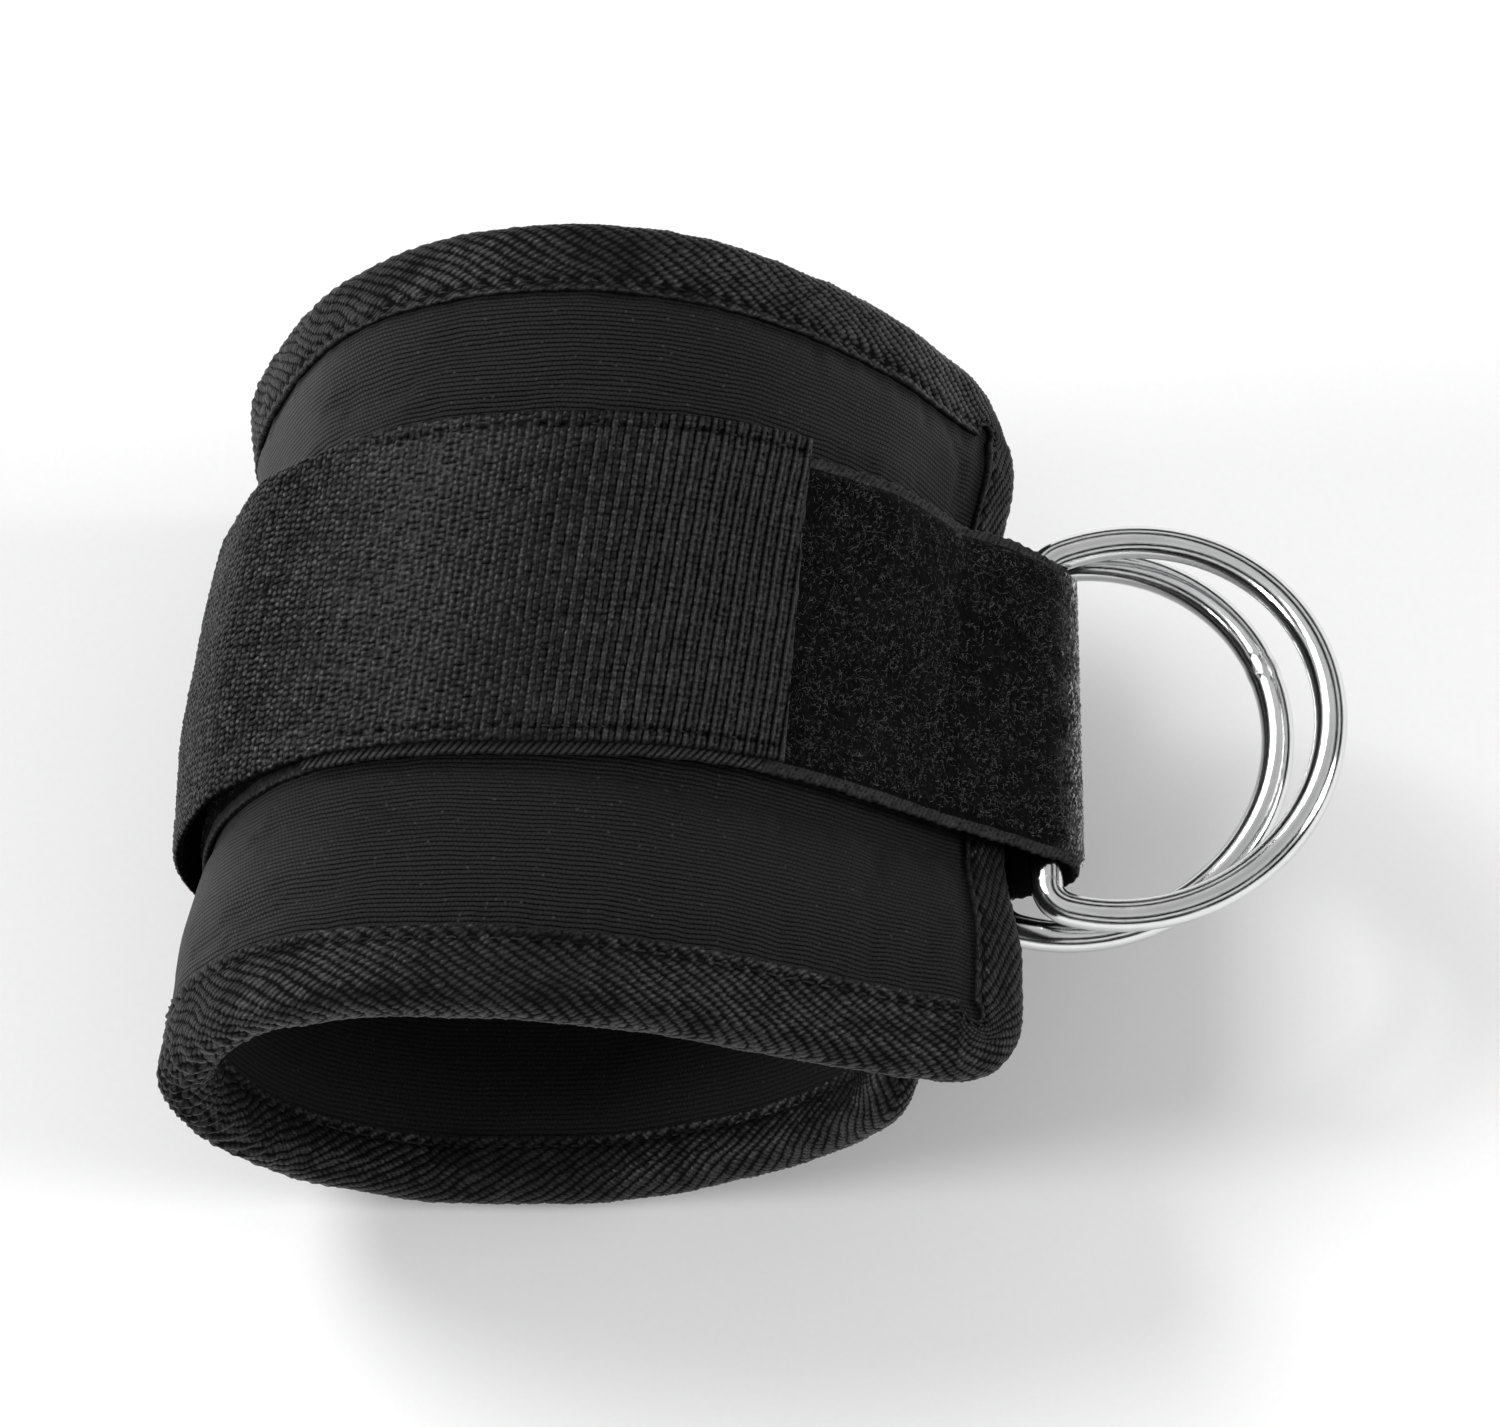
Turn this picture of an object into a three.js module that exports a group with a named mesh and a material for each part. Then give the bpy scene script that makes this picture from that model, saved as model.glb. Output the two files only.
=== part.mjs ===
// Padded ankle cuff with a hook-and-loop strap and two D-rings.
// Millimetres, +Z up. The cuff lies on its side: the ankle axis runs along Y,
// the closure is on top, the D-rings point towards +X. The origin is the
// centre of the flat patch of webbing the cuff rests on.
//
// Positions on the wrapped pad are given by three values:
//   along   distance round the wrap: from the outer end (+X), over the top, down the -X side
//           and underneath to the inner end
//   y       distance along the ankle axis; near is -Y, far is +Y
//   offset  height outwards from the pad's mid-surface
import * as THREE from 'three';

const { clamp, degToRad, lerp, smoothstep } = THREE.MathUtils;

// ---------- driving dimensions ----------
const AXIS_X = 8.2;             // ankle axis from the centre of the rest patch
const AXIS_H = 49.1;            // ankle axis above the floor
const STRAP_MID = 3.75;         // middle of the webbing from the middle of the pad, along Y
const GAP = 0.3;                // clearance between strap layers

const PAD_W = 120;              // pad width along Y, over the binding
const CORNER_R = 12;            // pad corner radius
const FOAM_T = 4.4;
const FOAM_INSET = 2.4;         // foam edge from the pad edge
const SKIN_T = 0.4;             // face and lining fabric thickness
const SKIN_GAP = 0.25;          // clearance between foam and fabric
const SKIN_INSET = 3.4;         // fabric edge from the pad edge

const RIM_R = 4.0;              // outer radius of the bound edge
const BIND_T = 0.8;             // binding tape thickness
const BIND_OUT = 11.7;          // width of binding showing outside
const BIND_IN = 9.0;            // width of binding showing inside

const FIRST_LAYER = 3.25;       // inner face of the first strap layer, as an offset
const LOOP_T = 1.5;             // loop strap thickness, pile included
const LOOP_EDGES = [-22, 27.4]; // near and far edges, y
const LOOP_START = 180;         // loop strap ends, along the pad
const LOOP_END = 253;
const WEB_T = 1.2;              // webbing thickness
const WEB_W = 50;
const WEB_EDGES = [STRAP_MID - WEB_W / 2, STRAP_MID + WEB_W / 2];
const HOOK_T = 0.8;             // hook tape thickness
const HOOK_EDGES = [-22.7, 28.0];
const HINGE = 118;              // where the tail meets the free webbing, along the pad
const HINGE_GAP = 0.15;         // each webbing stops this far from the hinge
const HOOK_INSET = 2.5;         // hook tape ends from the hinge and from the tail end
const TAIL_ENDS = [47.2, 51.0]; // tail end at its near and far edges, along the pad

const WIRE_R = 2.5;             // D-ring wire radius
const BOW_R = 30.84;            // D-ring bow radius, wire centre
const BOW_C = 12.8;             // bow centre from the straight bar
const RING_Y = 1.2;             // middle of both D-rings
// straight bars: x, z from the ankle axis; tilt is the rise towards +X in degrees
const OUTER_BAR = { x: 71.0, z: -4.4, tilt: 9.4 };
const INNER_BAR = { x: 63.8, z: -12.8, tilt: 10.0 };
// the strap's turns round the bars, centre line; the outer turn is loose
const OUTER_TURN = { x: 70.6, z: -6.3 + AXIS_H, radius: 5.4 };
const INNER_TURN = { x: INNER_BAR.x, z: INNER_BAR.z + AXIS_H, radius: 3.75 };

// ---------- mesh subdivision ----------
const PAD_STEPS = 34;
const CORNER_STEPS = 4;
const TAIL_STEPS = 11;
const INNER_Y = [-37, -24, -6, 12, 31, 44];     // y stations between the pad rims
const STRAP_Y = [-6, 12];                       // y stations between the strap edges
const acrossStrap = ([nearEdge, farEdge]) => [nearEdge, ...STRAP_Y, farEdge];

// ---------- pad shape ----------
// mid-surface sections at the two rims: x, z from the ankle axis, outer end to inner end
const NEAR = [
  [66.0, 2.6], [60.0, 5.4], [54, 7.9], [46.5, 10.8], [39.1, 14.0], [27.8, 19.8], [16.5, 25.4],
  [5.2, 29.8], [-6, 32.4], [-17.1, 33.6], [-28.4, 33.2], [-37.6, 31.2], [-45.4, 26.6],
  [-51.5, 19.0], [-55.6, 10], [-57.2, 1], [-56.6, -7], [-54.0, -15.5], [-50.2, -23],
  [-44.6, -30.6], [-37, -37], [-28.5, -41.6], [-21, -44.0], [-15, -44.3], [-5, -44.3],
  [1, -44.1], [8, -42.8], [16.5, -39], [27.1, -32.6], [35.9, -25], [43.2, -15.4],
  [47.4, -7], [48.6, -1.0],
];
const FAR = [
  [65.8, -12.6], [61.9, -5.0], [54.4, 6.4], [46.6, 17.8], [37.3, 28.4], [28.3, 36.4],
  [19.5, 42.1], [9.6, 45.7], [0.9, 46.8], [-9, 45.7], [-17.6, 42.3], [-25.3, 37.4],
  [-31.7, 30.6], [-37.9, 20.5], [-42.1, 10.5], [-45.1, 1.0], [-46.9, -8.5], [-46.6, -17.7],
  [-43.0, -27], [-36, -35.3], [-28.5, -41.0], [-21, -43.9], [-15, -44.3], [-5, -44.3],
  [1, -44.1], [8.5, -42.9], [17.3, -40], [28, -34.5], [37, -28.0], [43.6, -20.5],
  [47.4, -12.5], [48.6, -5.5], [48.2, -1.5],
];
const END_STRETCH = 2.48;       // the strap's pull stretches the pad's outer end by this much
const STRETCHED = [0, 40];      // the stretched part, along the pad

// Each press moves the mid-surface inwards by depth (outwards if negative). It comes in and
// goes out smoothly over the four `zone` stations, and is weighted by [y, weight] stations.
const UNDER_STRAP = [[-37, 0], [-24, 1], [31, 1], [44, 0]];
const TOP_SQUEEZE = { depth: 2.0, extra: 1.6, extraFade: [8, 34], fade: [140, 178] };
const PRESSES = [
  { // the far part of the -X side is drawn in
    depth: 1, zone: [112, 150, 165, 205],
    weights: [[-37, 0], [-24, 0.1], [-6, 1.0], [12, 2.0], [31, 2.8], [44, 2.4], [60, 0]],
  },
  { // underneath, the pad sags onto the webbing
    depth: -0.6, zone: [192, 212, 234, 254], weights: UNDER_STRAP,
  },
  { // the far side of the top flap stands a little higher
    depth: -3.2, zone: [13, 36, 52, 100],
    weights: [[-24, 0], [-6, 0.15], [12, 0.6], [31, 1.0], [44, 0.35], [60, 0]],
  },
];

const rise = (from, to, value) => smoothstep(value, from, to);
const fall = (from, to, value) => 1 - rise(from, to, value);
const bump = (up0, up1, down0, down1, value) => rise(up0, up1, value) * fall(down0, down1, value);

// `count` equal steps: with both ends, or without the last value
const range = (from, to, count) =>
  Array.from({ length: count + 1 }, (_, i) => lerp(from, to, i / count));
const openRange = (from, to, count) => range(from, to, count).slice(0, -1);

// linear interpolation in [y, value] stations, held constant beyond them
function interpolate(stations, y) {
  for (let i = 1; i < stations.length; i++) {
    const [y0, value0] = stations[i - 1];
    const [y1, value1] = stations[i];
    if (y <= y1) return lerp(value0, value1, clamp((y - y0) / (y1 - y0), 0, 1));
  }
  return stations.at(-1)[1];
}

// a Catmull-Rom curve resampled at equal arc-length steps
const RIM_SAMPLES = 600;
function resample(section) {
  const points = section.map(([x, z]) => new THREE.Vector3(x, 0, z));
  const curve = new THREE.CatmullRomCurve3(points, false, 'centripetal');
  curve.arcLengthDivisions = 3000;
  const samples = curve.getSpacedPoints(RIM_SAMPLES).map(point => [point.x, point.z]);
  return { samples, length: curve.getLength() };
}
const nearRim = resample(NEAR);
const farRim = resample(FAR);
const PAD_L = (nearRim.length + farRim.length) / 2 - END_STRETCH;   // over the binding

const mix = (start, end, t) => [lerp(start[0], end[0], t), lerp(start[1], end[1], t)];

function rimPoint({ samples }, fraction) {
  const place = fraction * RIM_SAMPLES;
  const i = clamp(Math.floor(place), 0, RIM_SAMPLES - 1);
  return mix(samples[i], samples[i + 1], place - i);
}
function midPoint(along, y) {
  const stretch = END_STRETCH * rise(...STRETCHED, along);
  const fraction = (along + stretch) / (PAD_L + END_STRETCH);
  const across = (y + PAD_W / 2) / PAD_W;
  return mix(rimPoint(nearRim, fraction), rimPoint(farRim, fraction), across);
}
// outward unit normal in the XZ plane
function outward(along, y) {
  const reach = 1.5;
  const [x0, z0] = midPoint(along - reach, y);
  const [x1, z1] = midPoint(along + reach, y);
  const length = Math.hypot(x1 - x0, z1 - z0);
  return [(z1 - z0) / length, -(x1 - x0) / length];
}
function squeeze(along, y) {
  const { depth, extra, extraFade, fade } = TOP_SQUEEZE;
  let total = interpolate(UNDER_STRAP, y) * fall(...fade, along)
    * (depth + extra * fall(...extraFade, along));
  for (const press of PRESSES) {
    total += press.depth * interpolate(press.weights, y) * bump(...press.zone, along);
  }
  return total;
}
// the far corner of the pad's outer end falls back towards -X
const cornerShift = (along, y) => -1.2 * rise(40, 58, y) * fall(0, 34, along);

// a point on the wrapped pad, kept above the floor
function wrapPoint(along, y, offset) {
  const [x, z] = midPoint(along, y);
  const [normalX, normalZ] = outward(along, y);
  const distance = offset - squeeze(along, y);
  return [
    x + normalX * distance + cornerShift(along, y),
    y,
    Math.max(0, z + normalZ * distance + AXIS_H),
  ];
}
// the pulled strap stands off the pad between the closure and the rings
function lift(along, y) {
  const nearLift = 2.6 * bump(4, 30, 38, 88, along);
  const farLift = 3.6 * fall(22, 58, along);
  return lerp(nearLift, farLift, rise(-16, 22, y));
}

// ---------- mesh helpers ----------
// indexed geometry, wound so that its volume is positive
function geometry(vertices, triangles) {
  let volume = 0;
  for (const corners of triangles) {
    const [[ax, ay, az], [bx, by, bz], [cx, cy, cz]] = corners.map(i => vertices[i]);
    volume += ax * (by * cz - bz * cy) - ay * (bx * cz - bz * cx) + az * (bx * cy - by * cx);
  }
  const built = new THREE.BufferGeometry();
  built.setAttribute('position', new THREE.Float32BufferAttribute(vertices.flat(), 3));
  built.setIndex(triangles.flatMap(([a, b, c]) => (volume < 0 ? [a, c, b] : [a, b, c])));
  built.computeVertexNormals();
  return built;
}
// closed slab between two grids [row][column] of points
function slab(top, bottom) {
  const rows = top.length;
  const columns = top[0].length;
  const topId = (i, j) => i * columns + j;
  const bottomId = (i, j) => rows * columns + topId(i, j);
  const triangles = [];
  for (let i = 0; i < rows - 1; i++) {
    for (let j = 0; j < columns - 1; j++) {
      triangles.push(
        [topId(i, j), topId(i + 1, j), topId(i + 1, j + 1)],
        [topId(i, j), topId(i + 1, j + 1), topId(i, j + 1)],
        [bottomId(i, j), bottomId(i + 1, j + 1), bottomId(i + 1, j)],
        [bottomId(i, j), bottomId(i, j + 1), bottomId(i + 1, j + 1)],
      );
    }
  }
  const rim = [];
  for (let i = 0; i < rows; i++) rim.push([i, 0]);
  for (let j = 1; j < columns; j++) rim.push([rows - 1, j]);
  for (let i = rows - 2; i >= 0; i--) rim.push([i, columns - 1]);
  for (let j = columns - 2; j > 0; j--) rim.push([0, j]);
  rim.forEach((here, k) => {
    const next = rim[(k + 1) % rim.length];
    triangles.push(
      [topId(...here), bottomId(...next), topId(...next)],
      [topId(...here), bottomId(...here), bottomId(...next)],
    );
  });
  return geometry([...top.flat(), ...bottom.flat()], triangles);
}
// closed loop of profile rings joined one after another
function loft(rings) {
  const size = rings[0].length;
  const triangles = [];
  for (let i = 0; i < rings.length; i++) {
    const here = i * size;
    const next = ((i + 1) % rings.length) * size;
    for (let j = 0; j < size; j++) {
      const k = (j + 1) % size;
      triangles.push([here + j, here + k, next + k], [here + j, next + k, next + j]);
    }
  }
  return geometry(rings.flat(), triangles);
}
// unit direction of a closed path at point i
function tangent(path, i) {
  const before = path.at(i - 1);
  const after = path[(i + 1) % path.length];
  const step = [after[0] - before[0], after[1] - before[1]];
  const length = Math.hypot(...step);
  return step.map(part => part / length);
}

// ---------- pad: foam core, face fabric, lining ----------
function padLayer(inset, outerOffset, innerOffset) {
  const radius = CORNER_R - inset;
  const ends = [0, 0.12, 0.35, 0.65, 1].map(t => inset + radius * t);
  const stations = [
    ...ends,
    ...range(CORNER_R, PAD_L - CORNER_R, PAD_STEPS).slice(1, -1),
    ...ends.map(end => PAD_L - end).reverse(),
  ];
  const grid = offset => stations.map(along => {
    const fromEnd = Math.min(along, PAD_L - along);
    let half = PAD_W / 2 - inset;
    if (fromEnd < CORNER_R) {
      half -= radius - Math.sqrt(Math.max(0, radius ** 2 - (CORNER_R - fromEnd) ** 2));
    }
    return [-half, ...INNER_Y, half].map(y => wrapPoint(along, y, offset));
  });
  return slab(grid(outerOffset), grid(innerOffset));
}
const FOAM_FACE = FOAM_T / 2;
const SKIN_IN = FOAM_FACE + SKIN_GAP;
const SKIN_OUT = SKIN_IN + SKIN_T;

// ---------- binding tape folded over the whole edge ----------
// pad outline as [along, y, inward direction along, inward direction y]
function edgePath() {
  const half = PAD_W / 2;
  const side = (from, to, y, inward) =>
    openRange(from, to, PAD_STEPS).map(along => [along, y, 0, inward]);
  const end = (along, inward, ys) => ys.map(y => [along, y, inward, 0]);
  const corner = (along, y, startAngle) =>
    openRange(startAngle, startAngle + 90, CORNER_STEPS).map(angle => {
      const cos = Math.cos(degToRad(angle));
      const sin = Math.sin(degToRad(angle));
      return [along + CORNER_R * cos, y + CORNER_R * sin, -cos, -sin];
    });
  const along0 = CORNER_R;
  const along1 = PAD_L - CORNER_R;
  const cornerY = half - CORNER_R;
  return [
    ...side(along0, along1, -half, 1),
    ...corner(along1, -cornerY, -90),
    ...end(PAD_L, -1, [-cornerY, ...INNER_Y]),
    ...corner(along1, cornerY, 0),
    ...side(along1, along0, half, -1),
    ...corner(along0, cornerY, 90),
    ...end(0, 1, [cornerY, ...INNER_Y.toReversed()]),
    ...corner(along0, -cornerY, 180),
  ];
}
const EDGE = edgePath();

// sweeps a profile of [distance in from the edge, offset] round the pad
function sweepEdge(profile) {
  return loft(EDGE.map(([along, y, inAlong, inY]) => profile.map(([inset, offset]) =>
    wrapPoint(along + inAlong * inset, y + inY * inset, offset))));
}
function edgeBinding() {
  const innerR = RIM_R - BIND_T;
  const fold = radius => range(0, 180, 4).map(degToRad).map(angle =>
    [RIM_R - radius * Math.sin(angle), radius * Math.cos(angle)]);
  return sweepEdge([
    [BIND_OUT, RIM_R],
    ...fold(RIM_R),
    [BIND_IN, -RIM_R],
    [BIND_IN, -innerR],
    ...fold(innerR).reverse(),
    [BIND_OUT, innerR],
  ]);
}
// all threads have a thin triangular section
const THREAD_HALF = 0.4;
function bindingThread(inset, offset) {
  const out = Math.sign(offset);
  const base = offset + out * 0.3;
  const crest = offset + out * 0.75;
  return sweepEdge([[inset - THREAD_HALF, base], [inset + THREAD_HALF, base], [inset, crest]]);
}

// ---------- loop strap: from the -X side over the top, round both ring bars, back to the pad ---
const LOOP_MID = FIRST_LAYER + LOOP_T / 2;
// where the strap leaves the pad towards the rings
const LEAVING = [
  { along: 24, extra: 0.45, normalAt: 26 },
  { along: 17, extra: 1.25, normalAt: 20 },
];
const RETURN_AT = 284;          // where the strap comes back to the pad, along the pad

// normal angle at which a line meets a turn; side is +1 or -1 from the direction to (x, z)
function touchAngle(turn, [x, z], side, radius = turn.radius) {
  const stepX = x - turn.x;
  const stepZ = z - turn.z;
  return Math.atan2(stepZ, stepX) + side * Math.acos(radius / Math.hypot(stepX, stepZ));
}
function turnPoint({ x, z, radius }, angle) {
  const cos = Math.cos(angle);
  const sin = Math.sin(angle);
  return [x + radius * cos, z + radius * sin, cos, sin];
}
// clockwise arc round a bar, seen from -Y
function turnArc(turn, from, to, count) {
  let sweep = to - from;
  while (sweep > 0) sweep -= 2 * Math.PI;
  while (sweep < -2 * Math.PI) sweep += 2 * Math.PI;
  return range(0, sweep, count).map(step => turnPoint(turn, from + step));
}
// two stations between start and end, raised along the normal by an arch
function freeRun(start, end, angle, arch) {
  const cos = Math.cos(angle);
  const sin = Math.sin(angle);
  return [0.35, 0.7].map(t => {
    const [x, z] = mix(start, end, t);
    const height = arch * t * (1 - t);
    return [x + height * cos, z + height * sin, cos, sin];
  });
}
// centre line at one y as [x, z, normal x, normal z]
function loopPath(y) {
  const onPad = (along, extra = 0, normalAt = along) => {
    const [x, , z] = wrapPoint(along, y, LOOP_MID + extra + lift(along, y));
    return [x, z, ...outward(normalAt, y)];
  };
  const leaving = LEAVING.map(({ along, extra, normalAt }) => onPad(along, extra, normalAt));
  const lastOnPad = leaving.at(-1);
  const back = onPad(RETURN_AT);
  const topAngle = touchAngle(OUTER_TURN, lastOnPad, -1);
  const betweenAngle = touchAngle(
    OUTER_TURN, [INNER_TURN.x, INNER_TURN.z], 1, OUTER_TURN.radius - INNER_TURN.radius);
  const backAngle = touchAngle(INNER_TURN, back, 1);
  const farArch = 6 * rise(0, 27, y);           // the far edge arches over to the turn
  return [
    ...range(LOOP_START, 30, 22).map(along => onPad(along)),
    ...leaving,
    ...freeRun(lastOnPad, turnPoint(OUTER_TURN, topAngle), topAngle, farArch),
    ...turnArc(OUTER_TURN, topAngle, betweenAngle, 6),
    ...turnArc(INNER_TURN, betweenAngle, backAngle, 3),
    ...freeRun(turnPoint(INNER_TURN, backAngle), back, backAngle, 0),
    ...range(280, LOOP_END, 5).map(along => onPad(along)),
  ];
}
function loopStrap() {
  const ys = acrossStrap(LOOP_EDGES);
  const paths = ys.map(loopPath);
  const grid = height => paths[0].map((_, i) => paths.map((path, j) => {
    const [x, z, normalX, normalZ] = path[i];
    return [x + normalX * height, ys[j], Math.max(0, z + normalZ * height)];
  }));
  return slab(grid(LOOP_T / 2), grid(-LOOP_T / 2));
}

// ---------- webbing and hook tape ----------
const OVER_LOOP = FIRST_LAYER + LOOP_T + GAP;   // inner face of a layer on the loop strap
const TAIL_IN = OVER_LOOP + HOOK_T + GAP;       // inner face of the tail webbing

// inner face of the free webbing: over both loop strap ends, bulging out on the -X side
function freeOffset(along, y) {
  const overEnds = Math.max(rise(246, 251.5, along), fall(181, 187, along));
  const bulge = (2.0 + 1.7 * rise(-24, -2, y)) * bump(118, 134, 150, 178, along)
    + 0.8 * bump(118, 134, 181, 187, along);
  const overHook = (TAIL_IN - OVER_LOOP) * fall(HINGE, 130, along);
  return FIRST_LAYER + (OVER_LOOP - FIRST_LAYER) * overEnds + bulge + overHook;
}
const tailOffset = (along, y) => TAIL_IN + lift(along, y);
const hookOffset = (along, y) => OVER_LOOP + lift(along, y);

// band on the pad; stationAt(i, y) gives the place of row i along the pad
function band(rows, stationAt, edges, offsetAt, thickness) {
  const grid = height => Array.from({ length: rows }, (_, i) => acrossStrap(edges).map(y => {
    const along = stationAt(i, y);
    return wrapPoint(along, y, offsetAt(along, y) + height);
  }));
  return slab(grid(thickness), grid(0));
}
function freeWebbing() {
  const stations = [
    ...range(HINGE + HINGE_GAP, 180, 11), 183, 186, 189,
    ...range(196, 240, 6), 246, 249, 252, ...range(258, 276, 3),
  ];
  return band(stations.length, i => stations[i], WEB_EDGES, freeOffset, WEB_T);
}
// band from the hinge to the slanted tail end, stopping short of each
function tailBand(hingeInset, endInset, edges, offsetAt, thickness) {
  const stationAt = (i, y) => {
    const end = lerp(...TAIL_ENDS, (y - WEB_EDGES[0]) / WEB_W) + endInset;
    return lerp(HINGE - hingeInset, end, i / TAIL_STEPS);
  };
  return band(TAIL_STEPS + 1, stationAt, edges, offsetAt, thickness);
}

// ---------- box stitches ----------
// thread round a rectangle on the pad; stepsAlong and stepsAcross divide its sides
function boxStitch([along0, along1], [y0, y1], stepsAlong, stepsAcross, offsetAt) {
  const path = [
    ...openRange(along0, along1, stepsAlong).map(along => [along, y0]),
    ...openRange(y0, y1, stepsAcross).map(y => [along1, y]),
    ...openRange(along1, along0, stepsAlong).map(along => [along, y1]),
    ...openRange(y1, y0, stepsAcross).map(y => [along0, y]),
  ];
  return loft(path.map(([along, y], i) => {
    const [stepAlong, stepY] = tangent(path, i).map(part => part * THREAD_HALF);
    const offset = offsetAt(along, y);
    return [
      wrapPoint(along - stepY, y + stepAlong, offset),
      wrapPoint(along + stepY, y - stepAlong, offset),
      wrapPoint(along, y, offset + 0.4),
    ];
  }));
}
const inset = ([nearEdge, farEdge], nearInset, farInset = nearInset) =>
  [nearEdge + nearInset, farEdge - farInset];

// ---------- D-rings ----------
// wire centre line as [distance from the bar, y from the ring middle]
function ringPath() {
  const halfBar = Math.sqrt(BOW_R ** 2 - BOW_C ** 2);
  const straight = halfBar - 3.4;               // the bar stops short for the rounded corner
  const bowEnd = Math.atan2(halfBar, -BOW_C) - degToRad(7.5);
  const bow = range(bowEnd, -bowEnd, 26).map(angle =>
    [BOW_C + BOW_R * Math.cos(angle), BOW_R * Math.sin(angle)]);
  const cornerX = 0.22 * bow[0][0];
  const cornerY = lerp(straight, bow[0][1], 0.62);
  return [
    ...range(-straight, straight, 4).map(y => [0, y]),
    [cornerX, cornerY],
    ...bow,
    [cornerX, -cornerY],
  ];
}
function dRing(bar) {
  const path = ringPath();
  const cos = Math.cos(degToRad(bar.tilt));
  const sin = Math.sin(degToRad(bar.tilt));
  return loft(path.map((point, i) => {
    const [tangentX, tangentY] = tangent(path, i);
    return openRange(0, 360, 8).map(degToRad).map(angle => {
      const side = WIRE_R * Math.cos(angle);
      const up = WIRE_R * Math.sin(angle);
      const x = point[0] - tangentY * side;
      const y = point[1] + tangentX * side;
      return [bar.x + x * cos - up * sin, RING_Y + y, AXIS_H + bar.z + x * sin + up * cos];
    });
  }));
}

// ---------- materials ----------
const FOAM = { color: 0x2a2a2a, roughness: 0.9 };
const FACE = { color: 0x0d0d0e, roughness: 0.8 };
const LINING = { color: 0x0a0a0b, roughness: 0.85 };
const BINDING = { color: 0x101011, roughness: 0.75 };
const THREAD = { color: 0x0c0c0d, roughness: 0.6 };
const LOOP_PILE = { color: 0x121213, roughness: 0.95 };
const WEBBING = { color: 0x161617, roughness: 0.7 };
const HOOK = { color: 0x101011, roughness: 0.6 };
const STEEL = { color: 0xc8c8cc, roughness: 0.15, metalness: 1 };

// ---------- assembly ----------
const cuff = new THREE.Group();
const placed = new THREE.Group();                // moves the ankle axis onto the rest patch
placed.position.set(AXIS_X, -STRAP_MID, 0);
cuff.add(placed);
function add(name, shape, look) {
  const mesh = new THREE.Mesh(shape, new THREE.MeshStandardMaterial(look));
  mesh.name = name;
  placed.add(mesh);
}
add('foam_core', padLayer(FOAM_INSET, FOAM_FACE, -FOAM_FACE), FOAM);
add('face_fabric', padLayer(SKIN_INSET, SKIN_OUT, SKIN_IN), FACE);
add('lining_fabric', padLayer(SKIN_INSET, -SKIN_IN, -SKIN_OUT), LINING);
add('edge_binding', edgeBinding(), BINDING);
add('binding_thread_outer', bindingThread(BIND_OUT - 1.6, RIM_R), THREAD);
add('binding_thread_inner', bindingThread(BIND_IN - 1.4, -RIM_R), THREAD);
add('loop_strap', loopStrap(), LOOP_PILE);
add('free_webbing', freeWebbing(), WEBBING);
add('tail_webbing', tailBand(HINGE_GAP, 0, WEB_EDGES, tailOffset, WEB_T), WEBBING);
add('hook_tape', tailBand(HOOK_INSET, HOOK_INSET, HOOK_EDGES, hookOffset, HOOK_T), HOOK);
add('strap_end_box_stitch',
  boxStitch([168, 178], inset(LOOP_EDGES, 3), 2, 4, () => OVER_LOOP - 0.05), THREAD);
add('joint_box_stitch',
  boxStitch([256, 273], inset(WEB_EDGES, 3, 5), 3, 4,
    (along, y) => freeOffset(along, y) + WEB_T + GAP), THREAD);
add('tail_box_stitch',
  boxStitch([54, 112], inset(WEB_EDGES, 2.2), 9, 4,
    (along, y) => tailOffset(along, y) + WEB_T + GAP), THREAD);
add('ring_outer', dRing(OUTER_BAR), STEEL);
add('ring_inner', dRing(INNER_BAR), STEEL);

export default cuff;
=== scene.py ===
# Padded ankle cuff lying on its side: a bound foam pad wrapped round an axis along y, a loop
# strap turned round two D-rings on the +x side, and a webbing tail closed over the top.
# Worked out in mm from the ankle axis (z above the floor), then placed in the frame in metres.
# The camera looks from -y and above: "near" is -y, "far" is +y, "right" is +x.
#   wrap  mm along the pad, from its right end over the top, down the left and back underneath
#   y     mm across the pad
#   out   mm outwards from the middle of the pad's thickness
#   run   mm along a strap, the edge tape or the ring wire
import math

import bpy
import numpy as np
from mathutils import Matrix


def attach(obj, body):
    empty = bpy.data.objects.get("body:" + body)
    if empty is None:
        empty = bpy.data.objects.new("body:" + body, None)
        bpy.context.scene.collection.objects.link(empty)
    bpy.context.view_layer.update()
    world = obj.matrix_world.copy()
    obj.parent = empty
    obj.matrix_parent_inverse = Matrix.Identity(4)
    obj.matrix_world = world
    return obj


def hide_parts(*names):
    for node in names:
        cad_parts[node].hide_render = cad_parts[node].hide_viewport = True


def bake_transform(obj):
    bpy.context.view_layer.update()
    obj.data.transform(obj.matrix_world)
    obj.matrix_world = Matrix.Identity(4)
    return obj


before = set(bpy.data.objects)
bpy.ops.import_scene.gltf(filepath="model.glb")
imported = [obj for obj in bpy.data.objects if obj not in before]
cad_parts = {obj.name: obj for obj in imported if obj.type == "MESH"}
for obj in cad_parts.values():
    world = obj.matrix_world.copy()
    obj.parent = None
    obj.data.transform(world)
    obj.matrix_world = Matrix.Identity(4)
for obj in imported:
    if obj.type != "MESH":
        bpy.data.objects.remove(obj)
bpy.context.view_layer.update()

# ---------------------------------------------------------------- driving dimensions, mm
AXIS_X, AXIS_Y, AXIS_Z = 8.2, -3.75, 49.1
HALF_WIDTH = 120.0 / 2                       # pad, along y
CORNER_R = 12.0
FOAM_T, SKIN_T, SKIN_GAP = 4.4, 0.4, 0.25
SKIN = FOAM_T / 2 + SKIN_GAP                 # where the fabrics start
RIM_R, BIND_T = 4.0, 0.8                     # radius over the pad's edge, tape thickness
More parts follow.
